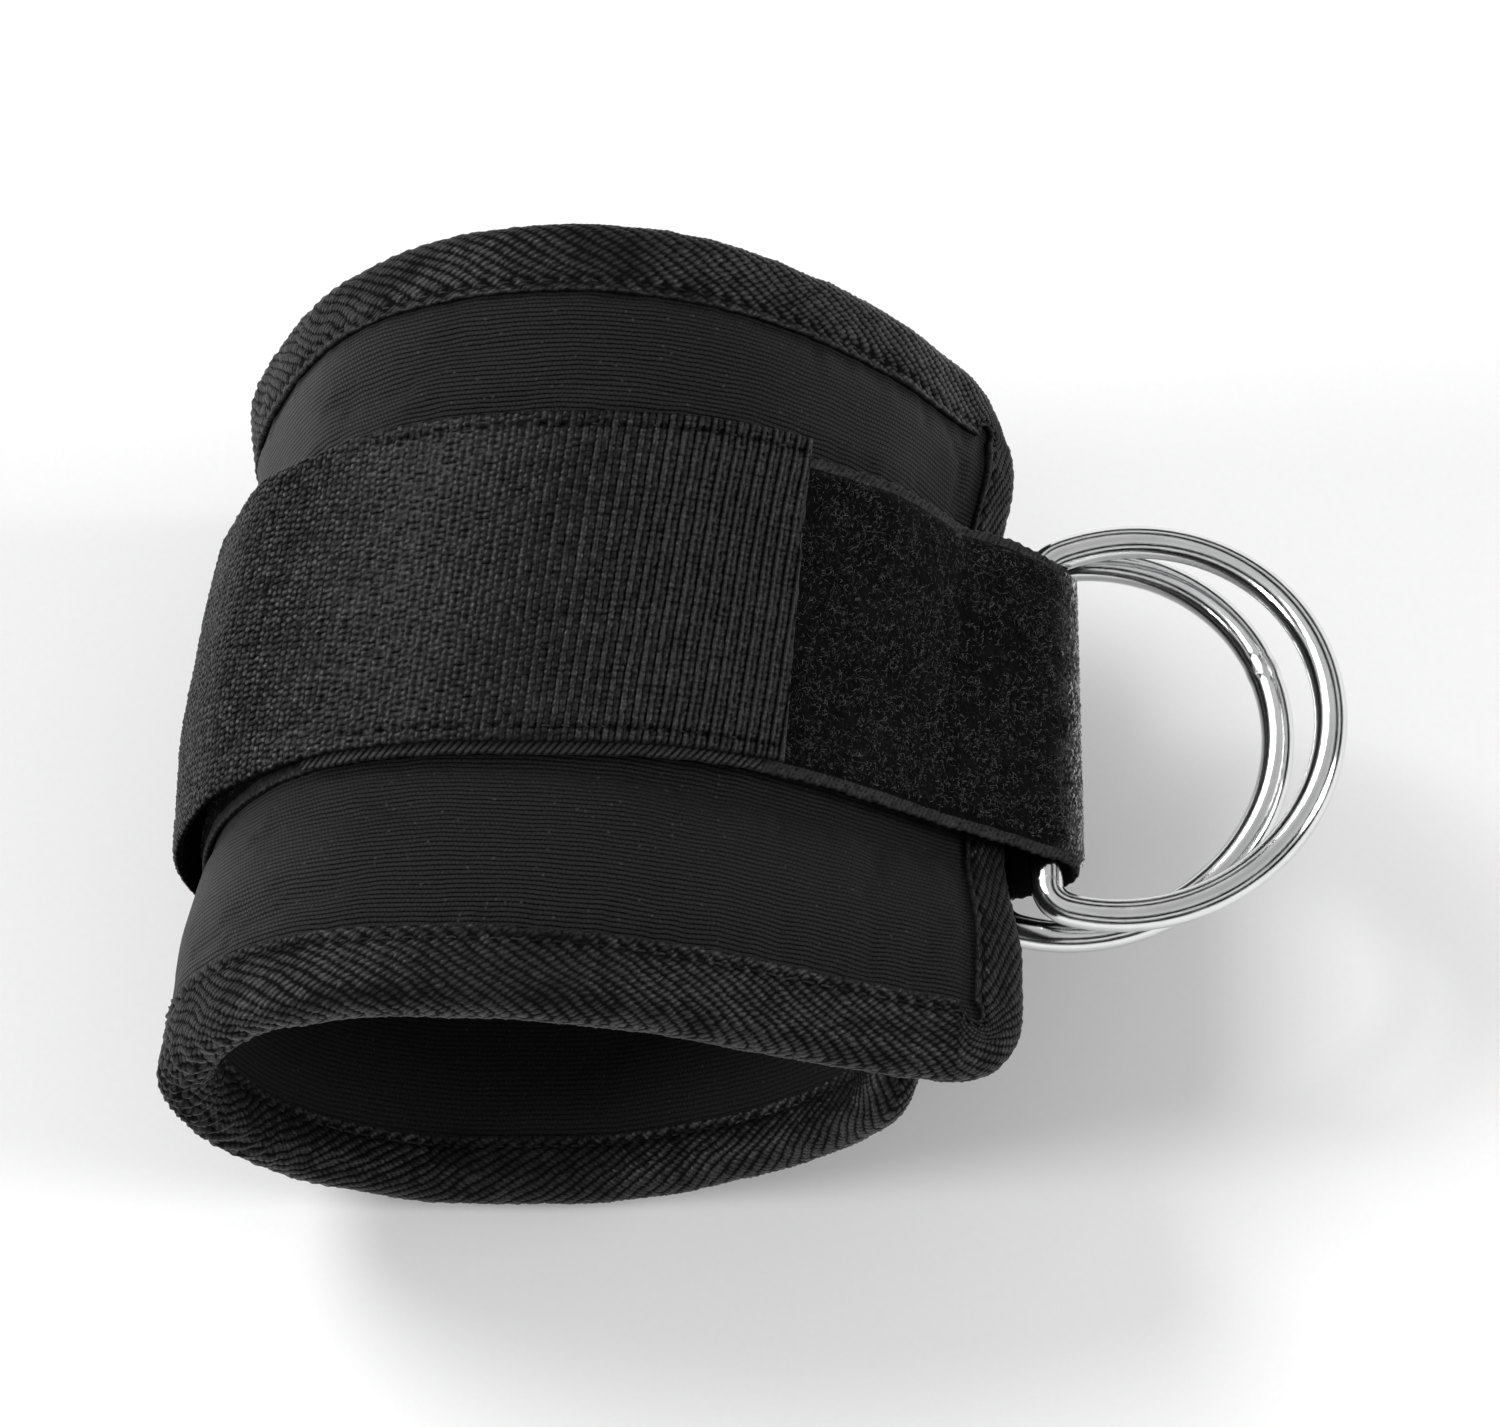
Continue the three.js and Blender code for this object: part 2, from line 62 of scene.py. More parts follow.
BIND_OUT, BIND_IN = 11.7, 9.0                # how far the tape reaches in from the edge
OUTER_SEAM, INNER_SEAM, SEAM_PITCH = 1.6, 1.4, 3.0    # thread from the tape's two edges
LOOP_T, LOOP_Y = 1.5, (-22.0, 27.4)
WEB_T, WEB_Y = 1.2, (-21.25, 28.75)
WEB_MID = sum(WEB_Y) / 2
HOOK_T, HOOK_Y = 0.8, (-22.7, 28.0)
GAP = 0.3
STRAP_BASE = 3.25                            # underside of the first strap layer
OVER_LOOP = STRAP_BASE + LOOP_T + GAP        # underside of the second layer
TAIL_BASE = OVER_LOOP + HOOK_T + GAP         # underside of the tail webbing
LOOP_MID = STRAP_BASE + LOOP_T / 2
LOOP_START = 180.0                           # wrap at the loop strap's sewn left end
HINGE = 118.0                                # wrap where the hook layer ends
TAIL_NEAR, TAIL_FAR = 47.2, 51.0             # wrap of the slanted tail end at its two edges
TAIL_SEAM = 2.2                              # box stitch in from the tail's edges
WEB_SPLIT, WEB_END = 206.275, 276.0          # tail and free webbing meet, free webbing ends
RIB_PITCH = 1.85                             # webbing ribs
SQUEEZE = 2.0                                # how far the strap draws the pad in
DRAWN_OUT = 2.48                             # extra length drawn in near the right end
WIRE_R, BOW_R, BOW_CENTRE, RING_Y = 2.5, 30.84, 12.8, 1.2
OUTER_BAR, OUTER_TILT = (71.0, -4.4), 9.4    # x, z from the axis; degrees
INNER_BAR, INNER_TILT = (63.8, -12.8), 10.0
FOLD_AT, FOLD_R, INNER_FOLD_R = (70.6, -6.3), 5.4, 3.75

# Section of the pad's middle surface at its near and far edges: x, z from the axis.
NEAR = [
    [66.0, 2.6], [60.0, 5.4], [54, 7.9], [46.5, 10.8], [39.1, 14.0], [27.8, 19.8], [16.5, 25.4],
    [5.2, 29.8], [-6, 32.4], [-17.1, 33.6], [-28.4, 33.2], [-37.6, 31.2], [-45.4, 26.6],
    [-51.5, 19.0], [-55.6, 10], [-57.2, 1], [-56.6, -7], [-54.0, -15.5], [-50.2, -23],
    [-44.6, -30.6], [-37, -37], [-28.5, -41.6], [-21, -44.0], [-15, -44.3], [-5, -44.3],
    [1, -44.1], [8, -42.8], [16.5, -39], [27.1, -32.6], [35.9, -25], [43.2, -15.4], [47.4, -7],
    [48.6, -1.0]]
FAR = [
    [65.8, -12.6], [61.9, -5.0], [54.4, 6.4], [46.6, 17.8], [37.3, 28.4], [28.3, 36.4],
    [19.5, 42.1], [9.6, 45.7], [0.9, 46.8], [-9, 45.7], [-17.6, 42.3], [-25.3, 37.4],
    [-31.7, 30.6], [-37.9, 20.5], [-42.1, 10.5], [-45.1, 1.0], [-46.9, -8.5], [-46.6, -17.7],
    [-43.0, -27], [-36, -35.3], [-28.5, -41.0], [-21, -43.9], [-15, -44.3], [-5, -44.3],
    [1, -44.1], [8.5, -42.9], [17.3, -40], [28, -34.5], [37, -28.0], [43.6, -20.5],
    [47.4, -12.5], [48.6, -5.5], [48.2, -1.5]]
CURVE_STEPS = 1200
BEYOND = np.arange(1, 25)                    # steps the section carries on past each end


# ---------------------------------------------------------------- shaping functions
def lerp(a, b, t):
    return a + (b - a) * t


def smooth(t):
    return t * t * (3 - 2 * t)


def rise(a, b, x):
    """0 before a, 1 after b, eased between."""
    return smooth(np.clip((x - a) / (b - a), 0, 1))


def fall(a, b, x):
    return 1 - rise(a, b, x)


def bell(x, centre, width):
    return np.exp(-((x - centre) / width) ** 2)


def rib(x, power=1.0):
    """Row of humps, one per unit of x."""
    return np.abs(np.sin(math.pi * x)) ** power


def wave(x, period):
    return np.sin(2 * math.pi * x / period)


def vnoise(x, y, seed):
    """Smooth value noise, -1 to 1."""
    x, y = np.broadcast_arrays(np.asarray(x, float), np.asarray(y, float))
    xi, yi = np.floor(x).astype(np.int64), np.floor(y).astype(np.int64)

    def corner(a, b):
        bits = (a * 374761393 + b * 668265263 + seed * 974634777 + 1274126177) & 0xFFFFFFFF
        bits = ((bits ^ (bits >> 13)) * 1274126177) & 0xFFFFFFFF
        return ((bits ^ (bits >> 16)) & 0xFFFFFFFF) / 2147483647.5 - 1

    u, v = smooth(x - xi), smooth(y - yi)
    return lerp(lerp(corner(xi, yi), corner(xi + 1, yi), u),
                lerp(corner(xi, yi + 1), corner(xi + 1, yi + 1), u), v)


def gaussian(reach, spread):
    weights = np.exp(-0.5 * (np.arange(-reach, reach + 1) / spread) ** 2)
    weights /= weights.sum()
    return weights


def softened(curve, reach, spread):
    """Gaussian smoothing of a polyline that keeps its ends."""
    longer = np.vstack([2 * curve[0] - curve[reach:0:-1], curve,
                        2 * curve[-1] - curve[-2:-reach - 2:-1]])
    weights = gaussian(reach, spread)
    return np.stack([np.convolve(column, weights, "valid") for column in longer.T], 1)


def arc_length(points):
    return np.r_[0, np.cumsum(np.linalg.norm(np.diff(points, axis=0), axis=1))]


def columns_at(x, known, table):
    return np.stack([np.interp(x, known, column) for column in table.T], 1)


def grid_cell(value, start, step, count):
    """Index and fraction of value on an even grid."""
    place = np.clip((value - start) / step, 0, count - 1.001)
    index = place.astype(int)
    return index, place - index


def bilinear(table, i, j, ti, tj):
    return lerp(lerp(table[i, j], table[i + 1, j], ti),
                lerp(table[i, j + 1], table[i + 1, j + 1], ti), tj)


# ---------------------------------------------------------------- the wrapped pad surface
def section_curve(stations):
    """Even, softened centripetal Catmull-Rom curve carried on past both ends, and its length."""
    p = np.array(stations, float)
    p = np.vstack([2 * p[0] - p[1], p, 2 * p[-1] - p[-2]])
    t = np.linspace(0, 1, 97)[:-1, None]
    spans = []
    for i in range(len(stations) - 1):
        x0, x1, x2, x3 = p[i:i + 4]
        d0, d1, d2 = (max(np.linalg.norm(a - b) ** 0.5, 1e-4)
                      for a, b in ((x0, x1), (x1, x2), (x2, x3)))
        m1 = ((x1 - x0) / d0 - (x2 - x0) / (d0 + d1) + (x2 - x1) / d1) * d1
        m2 = ((x2 - x1) / d1 - (x3 - x1) / (d1 + d2) + (x3 - x2) / d2) * d1
        spans.append(x1 + m1 * t + (-3 * x1 + 3 * x2 - 2 * m1 - m2) * t ** 2
                     + (2 * x1 - 2 * x2 + m1 + m2) * t ** 3)
    curve = np.vstack(spans + [p[-2][None]])
    length = arc_length(curve)
    curve = columns_at(np.linspace(0, length[-1], CURVE_STEPS + 1), length, curve)
    curve = softened(curve, 24, 9.0)
    steps = BEYOND[:, None]
    before = curve[0] + (curve[0] - curve[1]) * steps[::-1]
    after = curve[-1] + (curve[-1] - curve[-2]) * steps
    return np.vstack([before, curve, after]), length[-1]


NEAR_CURVE, NEAR_LEN = section_curve(NEAR)
FAR_CURVE, FAR_LEN = section_curve(FAR)
PAD_LEN = (NEAR_LEN + FAR_LEN) / 2 - DRAWN_OUT
CURVE_AT = np.r_[-BEYOND[::-1] / CURVE_STEPS, np.linspace(0, 1, CURVE_STEPS + 1),
                 1 + BEYOND / CURVE_STEPS]


def middle(wrap, y):
    """Middle of the pad's thickness before the straps press on it, from the axis."""
    wrap, y = np.broadcast_arrays(wrap, y)
    along = (wrap + DRAWN_OUT * rise(0, 40, wrap)) / (PAD_LEN + DRAWN_OUT)
    across = (y + HALF_WIDTH) / (2 * HALF_WIDTH)
    x, z = (lerp(np.interp(along, CURVE_AT, NEAR_CURVE[:, k]),
                 np.interp(along, CURVE_AT, FAR_CURVE[:, k]), across) for k in (0, 1))
    return np.stack([x, y, z], -1)


def outward(wrap, y):
    """Unit normal of the pad, square to y."""
    tangent = middle(wrap + 1.5, y) - middle(wrap - 1.5, y)
    tangent /= np.hypot(tangent[..., 0], tangent[..., 2])[..., None]
    return tangent[..., ::-1] * (1, 1, -1)


STATION_Y = np.arange(-70, 70.01, 0.25)


def across_profile(stations):
    """Softened function of y through (y, value) stations."""
    values = np.interp(STATION_Y, *np.array(stations).T)
    values = np.r_[[values[0]] * 16, values, [values[-1]] * 16]
    values = np.convolve(values, gaussian(16, 7.0), "valid")
    return lambda y: np.interp(y, STATION_Y, values)


under_strap = across_profile([(-37, 0), (-24, 1), (31, 1), (44, 0)])
drawn_left = across_profile([(-37, 0), (-24, .1), (-6, 1.0), (12, 2.0), (31, 2.8), (44, 2.4),
                             (60, 0)])
raised_right = across_profile([(-24, 0), (-6, .15), (12, .6), (31, 1.0), (44, .35), (60, 0)])


def squeeze(wrap, y):
    """How far the straps draw the pad in."""
    strap = under_strap(y)
    return (strap * fall(140, 178, wrap) * (SQUEEZE + 1.6 * fall(8, 34, wrap))
            + drawn_left(y) * rise(112, 150, wrap) * fall(165, 205, wrap)
            - strap * 0.6 * rise(192, 212, wrap) * fall(234, 254, wrap)
            - raised_right(y) * 3.2 * rise(13, 36, wrap) * fall(52, 100, wrap))


def surface(wrap, y, out):
    """Points on the wrapped pad, kept above the floor."""
    wrap, y, out = np.broadcast_arrays(wrap, y, out)
    depth = (out - squeeze(wrap, y))[..., None]
    points = middle(wrap, y) + outward(wrap, y) * depth
    points[..., 0] += -1.2 * rise(40, 58, y) * fall(0, 34, wrap)    # far right corner falls back
    points[..., 2] = np.maximum(0, points[..., 2] + AXIS_Z)
    return points


def lift(wrap, y):
    """How far the pulled strap stands off the pad between the closure and the rings."""
    return lerp(2.6 * fall(38, 88, wrap) * rise(4, 30, wrap), 3.6 * fall(22, 58, wrap),
                rise(-16, 22, y))


def drift(wrap):
    """The strap wanders to the far side before it reaches the rings."""
    return 2.0 * fall(44, 92, wrap) * rise(-32, 20, wrap)


def strap_points(wrap, y, out, base_wrap, base_y):
    """Points on the pulled strap, lifted and drifted as at the base position."""
    points = surface(wrap, y, out + lift(base_wrap, base_y))
    points[..., 1] += drift(base_wrap)
    return points


def to_frame(points):
    """mm from the axis to metres in the frame."""
    return (np.asarray(points, float) + np.array([AXIS_X, AXIS_Y, 0])) * 0.001


# ---------------------------------------------------------------- mesh helpers
def grid_quads(ni, nj, closed_i=False, closed_j=False):
    """Quads over a grid of points, with the row and column of each."""
    i, j = np.meshgrid(np.arange(ni if closed_i else ni - 1),
                       np.arange(nj if closed_j else nj - 1), indexing="ij")
    i, j = i.ravel(), j.ravel()
    i2, j2 = (i + 1) % ni, (j + 1) % nj
    return np.stack([i * nj + j, i2 * nj + j, i2 * nj + j2, i * nj + j2], 1), i, j


def signed_volume(verts, faces):
    total = 0.0
    for f in faces:
        a, b, c = verts[f[:, 0]], verts[f[:, 1]], verts[f[:, 2]]
        total += float(np.einsum("ij,ij->", a, np.cross(b, c)))
        if f.shape[1] == 4:
            total += float(np.einsum("ij,ij->", a, np.cross(c, verts[f[:, 3]])))
    return total


def make(name, points, faces, uv, attributes, materials):
    """Closed mesh object facing outwards, from points in mm, with one uv array per face array."""
    verts = to_frame(points).reshape(-1, 3)
    if signed_volume(verts, faces) < 0:
        faces = [f[:, ::-1] for f in faces]
        uv = [u[:, ::-1] for u in uv]
    mesh = bpy.data.meshes.new(name)
    mesh.vertices.add(len(verts))
    mesh.vertices.foreach_set("co", verts.astype(np.float32).ravel())
    loops = np.concatenate([f.ravel() for f in faces]).astype(np.int32)
    sizes = np.concatenate([np.full(len(f), f.shape[1], np.int32) for f in faces])
    starts = np.r_[0, np.cumsum(sizes)[:-1]].astype(np.int32)
    mesh.loops.add(len(loops))
    mesh.loops.foreach_set("vertex_index", loops)
    mesh.polygons.add(len(sizes))
    mesh.polygons.foreach_set("loop_start", starts)
    mesh.update(calc_edges=True)
    mesh.polygons.foreach_set("use_smooth", np.full(len(sizes), True))
    for key, values in attributes.items():
        values = np.asarray(values, np.float32).reshape(len(verts), -1)
        kind, field = (("FLOAT", "value") if values.shape[1] == 1
                       else ("FLOAT_VECTOR", "vector"))
        mesh.attributes.new(key, kind, "POINT").data.foreach_set(field, values.ravel())
    layer = mesh.uv_layers.new(name="OFBake")
    coords = np.concatenate([u.reshape(-1, 2) for u in uv]).astype(np.float32)
    layer.data.foreach_set("uv", coords.ravel())
    for material in materials:
        mesh.materials.append(material)
    mesh.validate()
    ob = bpy.data.objects.new(name, mesh)
    bpy.context.scene.collection.objects.link(ob)
    return ob


def corners(place, u0, u1, v0, v1):
    return np.stack([place(u0, v0), place(u1, v0), place(u1, v1), place(u0, v1)], 1)


def strip_uv(i, j, ni, nj, rows):
    """UVs of a long strip, cut into rows so that texels stay about square."""
    per = math.ceil(ni / rows)
    strip = i // per
    start = (i - strip * per) / per
    end = (i - strip * per + 1) / per

    def place(u, v):
        return np.stack([0.004 + 0.992 * u, (strip + 0.02 + 0.95 * v) / rows * 0.965], -1)

    return corners(place, start, end, j / nj, (j + 1) / nj)


def tube(name, points, attributes, materials, closed=False, rows=1):
    """Rings (ni, m, 3) of a closed profile. Open ends join each point to its partner across."""
    ni, m = points.shape[:2]
    quads, i, j = grid_quads(ni, m, closed_i=closed, closed_j=True)
    faces = [quads]
    uv = [strip_uv(i, j, ni if closed else ni - 1, m, rows)]
    if not closed:
        half = m // 2
        a = np.arange(1, half - 1)
        for base, back, level in ((0, False, 0.975), ((ni - 1) * m, True, 0.985)):
            quad = np.stack([a, a + 1, m - a - 1, m - a], 1)
            tri = np.array([[0, 1, m - 1], [half - 1, half, m - half + 1]])
            if back:
                quad, tri = quad[:, ::-1], tri[:, ::-1]
            faces += [quad + base, tri + base]
            quad_uv = np.stack([quad / m, np.full(quad.shape, level)], -1)
            quad_uv[:, 2:, 1] += 0.006
            uv += [quad_uv, np.stack([tri / m, np.full(tri.shape, 0.975)], -1)]
    return make(name, points, faces, uv, attributes, materials)


def slab(name, top, bottom, fab, material):
    """Closed body between two grids of points (ni, nj, 3)."""
    ni, nj = top.shape[:2]
    count = ni * nj
    quads, i, j = grid_quads(ni, nj)

    def sheet_uv(low):
        return corners(lambda u, v: np.stack([0.003 + 0.994 * u, low + 0.478 * v], -1),
                       i / (ni - 1), (i + 1) / (ni - 1), j / (nj - 1), (j + 1) / (nj - 1))

    index = np.arange(count).reshape(ni, nj)
    rim = np.r_[index[:, 0], index[-1, 1:], index[-2::-1, -1], index[0, -2:0:-1]]
    after = np.roll(rim, -1)
    side = np.stack([rim, rim + count, after + count, after], 1)
    step = 1 / len(rim)
    start = np.arange(len(rim)) / len(rim)
    side_uv = np.stack([np.stack([start + du, np.full_like(start, v)], -1) for du, v in
                        ((0, 0.972), (0, 0.99), (step, 0.99), (step, 0.972))], 1)
    return make(name, np.stack([top, bottom]), [quads, quads[:, ::-1] + count, side],
                [sheet_uv(0.003), sheet_uv(0.487)[:, ::-1], side_uv], {"fab": fab}, [material])


def batch(name, rings, attributes, material):
    """Many small tubes (count, k, m, 3), closed with centre fans, one UV cell each."""
    count, k, m = rings.shape[:3]
    tips = np.stack([rings[:, 0].mean(1), rings[:, -1].mean(1)], 1)
    verts = np.concatenate([rings.reshape(count, k * m, 3), tips], 1)
    per = k * m + 2
    quads, i, j = grid_quads(k, m, closed_j=True)
    a = np.arange(m)
    b = (a + 1) % m
    last = (k - 1) * m
    tris = np.vstack([np.stack([b, np.full(m, k * m), a], 1),
                      np.stack([last + a, np.full(m, k * m + 1), last + b], 1)])
    offset = (np.arange(count) * per)[:, None, None]
    faces = [(part[None] + offset).reshape(-1, part.shape[1]) for part in (quads, tris)]
    quad_uv = corners(lambda u, v: np.stack([u, v], -1), i / k, (i + 1) / k, j / m, (j + 1) / m)
    around = np.r_[a, a]
    tri_uv = np.stack([np.stack([np.full(2 * m, u), (around + dv) / m], -1)
                       for u, dv in ((0.0, 0), (0.02, 0), (0.0, 1))], 1)
    side = math.ceil(math.sqrt(count))
    cell = np.stack([(np.arange(count) % side) / side, (np.arange(count) // side) / side], -1)
    uv = [(cell[:, None, None] + (0.06 + 0.88 * part[None]) / side).reshape(-1, part.shape[1], 2)
          for part in (quad_uv, tri_uv)]
    repeated = {key: np.repeat(values, per, axis=0) for key, values in attributes.items()}
    return make(name, verts, faces, uv, repeated, [material])


def rings_round(centres, side, up, sides):
    """Elliptical rings round centres (count, k, 3), with half-axes side and up."""
    angle = np.linspace(0, 2 * math.pi, sides, endpoint=False)[:, None]
    return (centres[:, :, None] + side[:, :, None] * np.cos(angle)
            + up[:, :, None] * np.sin(angle))


def hair_frame(path, normals):
    """Tangents and sideways directions of many short paths."""
    tangent = np.gradient(path, axis=1)
    tangent /= np.linalg.norm(tangent, axis=2)[..., None] + 1e-9
    side = np.cross(tangent, normals)
    return tangent, side / (np.linalg.norm(side, axis=2)[..., None] + 1e-9)


def fabric(along, across, layer=0.0):
    """Texture coordinates in mm; layer keeps the faces of a piece apart."""
    return np.stack(np.broadcast_arrays(along, across, layer), -1).astype(float)


# ---------------------------------------------------------------- shader shorthand
def add_node(tree, kind, inputs, **settings):
    node = tree.nodes.new("ShaderNode" + kind)
    for key, value in settings.items():
        setattr(node, key, value)
    feed(node, inputs)
    return node


def feed(node, inputs):
    """Links or sets each input."""
    for key, value in inputs.items():
        if isinstance(value, Value):
            value.tree.links.new(value.socket, node.inputs[key])
        else:
            node.inputs[key].default_value = value


class Value:
    """A node output. Arithmetic on it adds Math nodes to its tree."""

    def __init__(self, node, output=0):
        self.tree = node.id_data
        self.socket = node.outputs[output]

    def math(self, operation, second=0.0, third=0.0, clamp=False):
        return Value(add_node(self.tree, "Math", {0: self, 1: second, 2: third},
                              operation=operation, use_clamp=clamp))

    def __add__(self, other):
        return self.math("ADD", other)

    def __sub__(self, other):
        return self.math("SUBTRACT", other)

    def __mul__(self, other):
        return self.math("MULTIPLY", other)

    def __pow__(self, other):
        return self.math("POWER", other)

    def times(self, factor, plus, clamp=False):
        return self.math("MULTIPLY_ADD", factor, plus, clamp)

    def masked(self, other):
        return self.math("MULTIPLY", other, clamp=True)

    def humps(self, period):
        """Size of a sine wave."""
        return self.times(2 * math.pi / period, plus=0.0).math("SINE").math("ABSOLUTE")

    def ramp(self, between, to=(0.0, 1.0)):
        ends = {1: between[0], 2: between[1], 3: to[0], 4: to[1]}
        return Value(add_node(self.tree, "MapRange", {0: self, **ends}, clamp=True))


def split(vector):
    node = add_node(vector.tree, "SeparateXYZ", {0: vector})
    return [Value(node, k) for k in range(3)]


def join(x, y, z):
    return Value(add_node(x.tree, "CombineXYZ", {0: x, 1: y, 2: z}))


def noise(vector, scale, detail=2.0, roughness=0.5, distortion=0.0):
    return Value(add_node(vector.tree, "TexNoise", {
        "Vector": vector, "Scale": scale, "Detail": detail,
        "Roughness": roughness, "Distortion": distortion}))


def voronoi(vector, scale, output="Distance"):
    node = add_node(vector.tree, "TexVoronoi", {"Vector": vector, "Scale": scale})
    return Value(node, output)


def mix(factor, a, b):
    """Colour mix; inputs 6 and 7 and output 2 are the node's colour sockets."""
    return Value(add_node(factor.tree, "Mix", {0: factor, 6: a, 7: b}, data_type="RGBA"), 2)


def grey(level):
    return (level, level, level, 1)


def new_material(name):
    material = bpy.data.materials.new(name)
    material.use_nodes = True
    return material


def attribute(material, name, output="Fac"):
    return Value(add_node(material.node_tree, "Attribute", {}, attribute_name=name), output)


def finish(material, color, roughness, height=None, specular=0.5, metallic=0.0, sheen=0.0,
           sheen_roughness=0.5):
    """Feeds the surface shader; height is a bump in mm."""
    bsdf = material.node_tree.nodes["Principled BSDF"]
    feed(bsdf, {"Base Color": color, "Roughness": roughness, "Metallic": metallic,
                "Specular IOR Level": specular, "Sheen Weight": sheen,
                "Sheen Roughness": sheen_roughness, "Sheen Tint": (1, 1, 1, 1)})
    if height is not None:
        bump = add_node(height.tree, "Bump",
                        {"Strength": 1.0, "Distance": 0.001, "Height": height})
        feed(bsdf, {"Normal": Value(bump)})
    return material


def stray_specks(fab, scale, size, chosen):
    """Dots in the few cells whose random value lies past the chosen band."""
    cell = voronoi(fab, scale)
    pick = voronoi(fab, scale, "Color")
    return cell.ramp((0.0, size), to=(1.0, 0.0)).masked(split(pick)[0].ramp(chosen))


# ---------------------------------------------------------------- materials
def knit_material(name, dark, light, pitch, specular, specks, roughness, sheen, graze):
    """Jersey: rows of loops along the wrap, a faint cross grid, painted shade between the rows and
    a few light fibres.
    graze strengthens relief and shine down the left side."""
    material = new_material(name)
    fab = attribute(material, "fab", "Vector")
    along, across, _ = split(fab)
    wandering = noise(fab, scale=0.09).times(1.1, plus=across)
    lines = wandering.humps(pitch * 2) ** 0.55
    row = wandering.math("DIVIDE", pitch).math("FLOOR")
    loops = row.math("MODULO", 2.0).times(0.3, plus=along).humps(1.2)
    fine = noise(fab, scale=2.6, detail=4, roughness=0.75)
    turned = along.ramp((104.0, 130.0), to=(0.0, graze))
    height = (lines * 0.10 + (loops * 0.05 + fine * 0.16)) * (turned + 1.0)
    cloud = noise(fab, scale=0.05, detail=3, roughness=0.55)
    # tone follows the knit's relief: painted shade between the rows, painted light on them; cloud
    # adds random tone
    tone = loops.times(0.15, plus=lines.times(0.55, plus=cloud.times(0.2, plus=fine * 2.4)))
    color = mix(tone.ramp((1.45, 2.22)), grey(dark), grey(light))
    dots = stray_specks(fab, scale=0.85, size=0.24, chosen=(0.72, 0.85))
    color = mix(dots * (0.6 * specks), color, grey(light * 5))
    rough = fine.ramp((0.3, 0.7), to=(roughness - 0.08, roughness + 0.08))
    shine = lines.ramp((0.3, 0.95)) * specular * (turned + 1.0)
    return finish(material, color, rough, height, specular=shine, sheen=sheen,
                  sheen_roughness=0.35)


def yarn_material(name, dark, light, roughness, specular, speck, hair=0.07, band=(0.50, 1.50),
                  graze=0.0):
    """Woven tape: painted shade in the grooves and painted light on the crowns (from the relief
    attribute rel), fine filament lines.
    band is the span of tone from dark to light, hair the filament relief in mm."""
    material = new_material(name)
    fab, relief = attribute(material, "fab", "Vector"), attribute(material, "rel")
    along, across, layer = split(fab)
    grain = noise(join(along, across, layer), scale=2.4, detail=3, roughness=0.65)
    filament = noise(join(along * 0.9, across * 5.0, layer), scale=1.3, roughness=0.6)
    cloud = noise(fab, scale=0.07)
    # tone follows rel: painted shade in the grooves, painted light on the crowns; grain and cloud
    # add random tone
    tone = cloud.times(0.10, plus=grain.times(0.75, plus=relief ** 1.6))
    color = mix(tone.ramp(band), grey(dark), grey(light))
    dots = stray_specks(fab, scale=0.9, size=0.19, chosen=(0.88, 0.93))
    dots = dots * relief.ramp((0.35, 0.8))
    color = mix(dots * speck, color, grey(light * 7))
    height = grain * hair + filament * hair
    rough = grain.ramp((0.3, 0.7), to=(roughness + 0.06, roughness - 0.06)) - dots * 0.2
    shine = (relief.ramp((0.35, 0.95), to=(0.02, 1.0))
             * grain.ramp((0.35, 0.65), to=(0.5 * specular, 1.3 * specular)))
    if graze:                                # down the left side only the crowns glint
        crown = relief ** 4.0 * (1.0 + graze)
        shine = shine * along.ramp((98.0, 124.0)).times(crown - 1.0, plus=1.0)
    return finish(material, color, rough, height, specular=shine, sheen=0.03,
                  sheen_roughness=0.35)


def pile_material():
    """Matted loop pile, lighter where it stands higher (painted shade in its hollows), with pale
    dashes where the strap folds: partly its ground showing, partly a painted rim light.
    """
    material = new_material("loop_pile")
    fab, relief = attribute(material, "fab", "Vector"), attribute(material, "rel")
    fuzz = noise(fab, scale=1.9, detail=4, roughness=0.75, distortion=0.8)
    cloud = noise(fab, scale=0.30, detail=3, roughness=0.6)
    # tone rises with the pile's height (rel): painted shade in its hollows; fuzz and cloud add
    # random tone
    tone = fuzz.times(1.0, plus=relief.times(0.5, plus=cloud * 0.5))
    color = mix(tone.ramp((0.85, 1.35)), grey(0.0005), grey(0.0058))
    fold = attribute(material, "fold")
    fibre = voronoi(join(split(fab)[0] * 2.2, split(fab)[1], 0.0), scale=1.5)
    ground_and_rim_dash = relief.ramp((0.25, 0.8)) * fibre.ramp((0.30, 0.62), to=(1.0, 0.12))
    # pale dashes at the fold: ground showing through, and a painted rim light
    color = mix(fold.masked(ground_and_rim_dash), color, grey(0.42))
    return finish(material, color, 0.8, fuzz * 0.35 + fibre * 0.15, specular=0.06, sheen=0.03,
                  sheen_roughness=0.3)


def fibre_material():
    """Loose fibre ends, palest in the fold: partly pale fibres, partly a painted rim light."""
    material = new_material("loop_fibres")
    tone = attribute(material, "tone")
    grain = noise(attribute(material, "fab", "Vector"), scale=2.0)
    level = tone ** 2.4 * grain.ramp((0.3, 0.7), to=(0.6, 1.3))
    fold = attribute(material, "fold")
    # in the fold the fibres are painted paler: part pale fibre, part painted rim light
    level = fold.times(0.5, plus=level, clamp=True)
    color = mix(level.ramp((0.0, 1.0)), grey(0.0025), grey(0.13))
    pale = fold.ramp((0.6, 0.9)).masked(tone.ramp((0.25, 0.75)))
    return finish(material, mix(pale, color, grey(0.50)), 0.45, specular=0.3, sheen=0.08)


def foam_material():
    material = new_material("foam")
    cells = voronoi(attribute(material, "fab", "Vector"), scale=1.6)
    color = mix(cells, grey(0.03), grey(0.008))
    return finish(material, color, 0.9, cells * 0.3, specular=0.2)


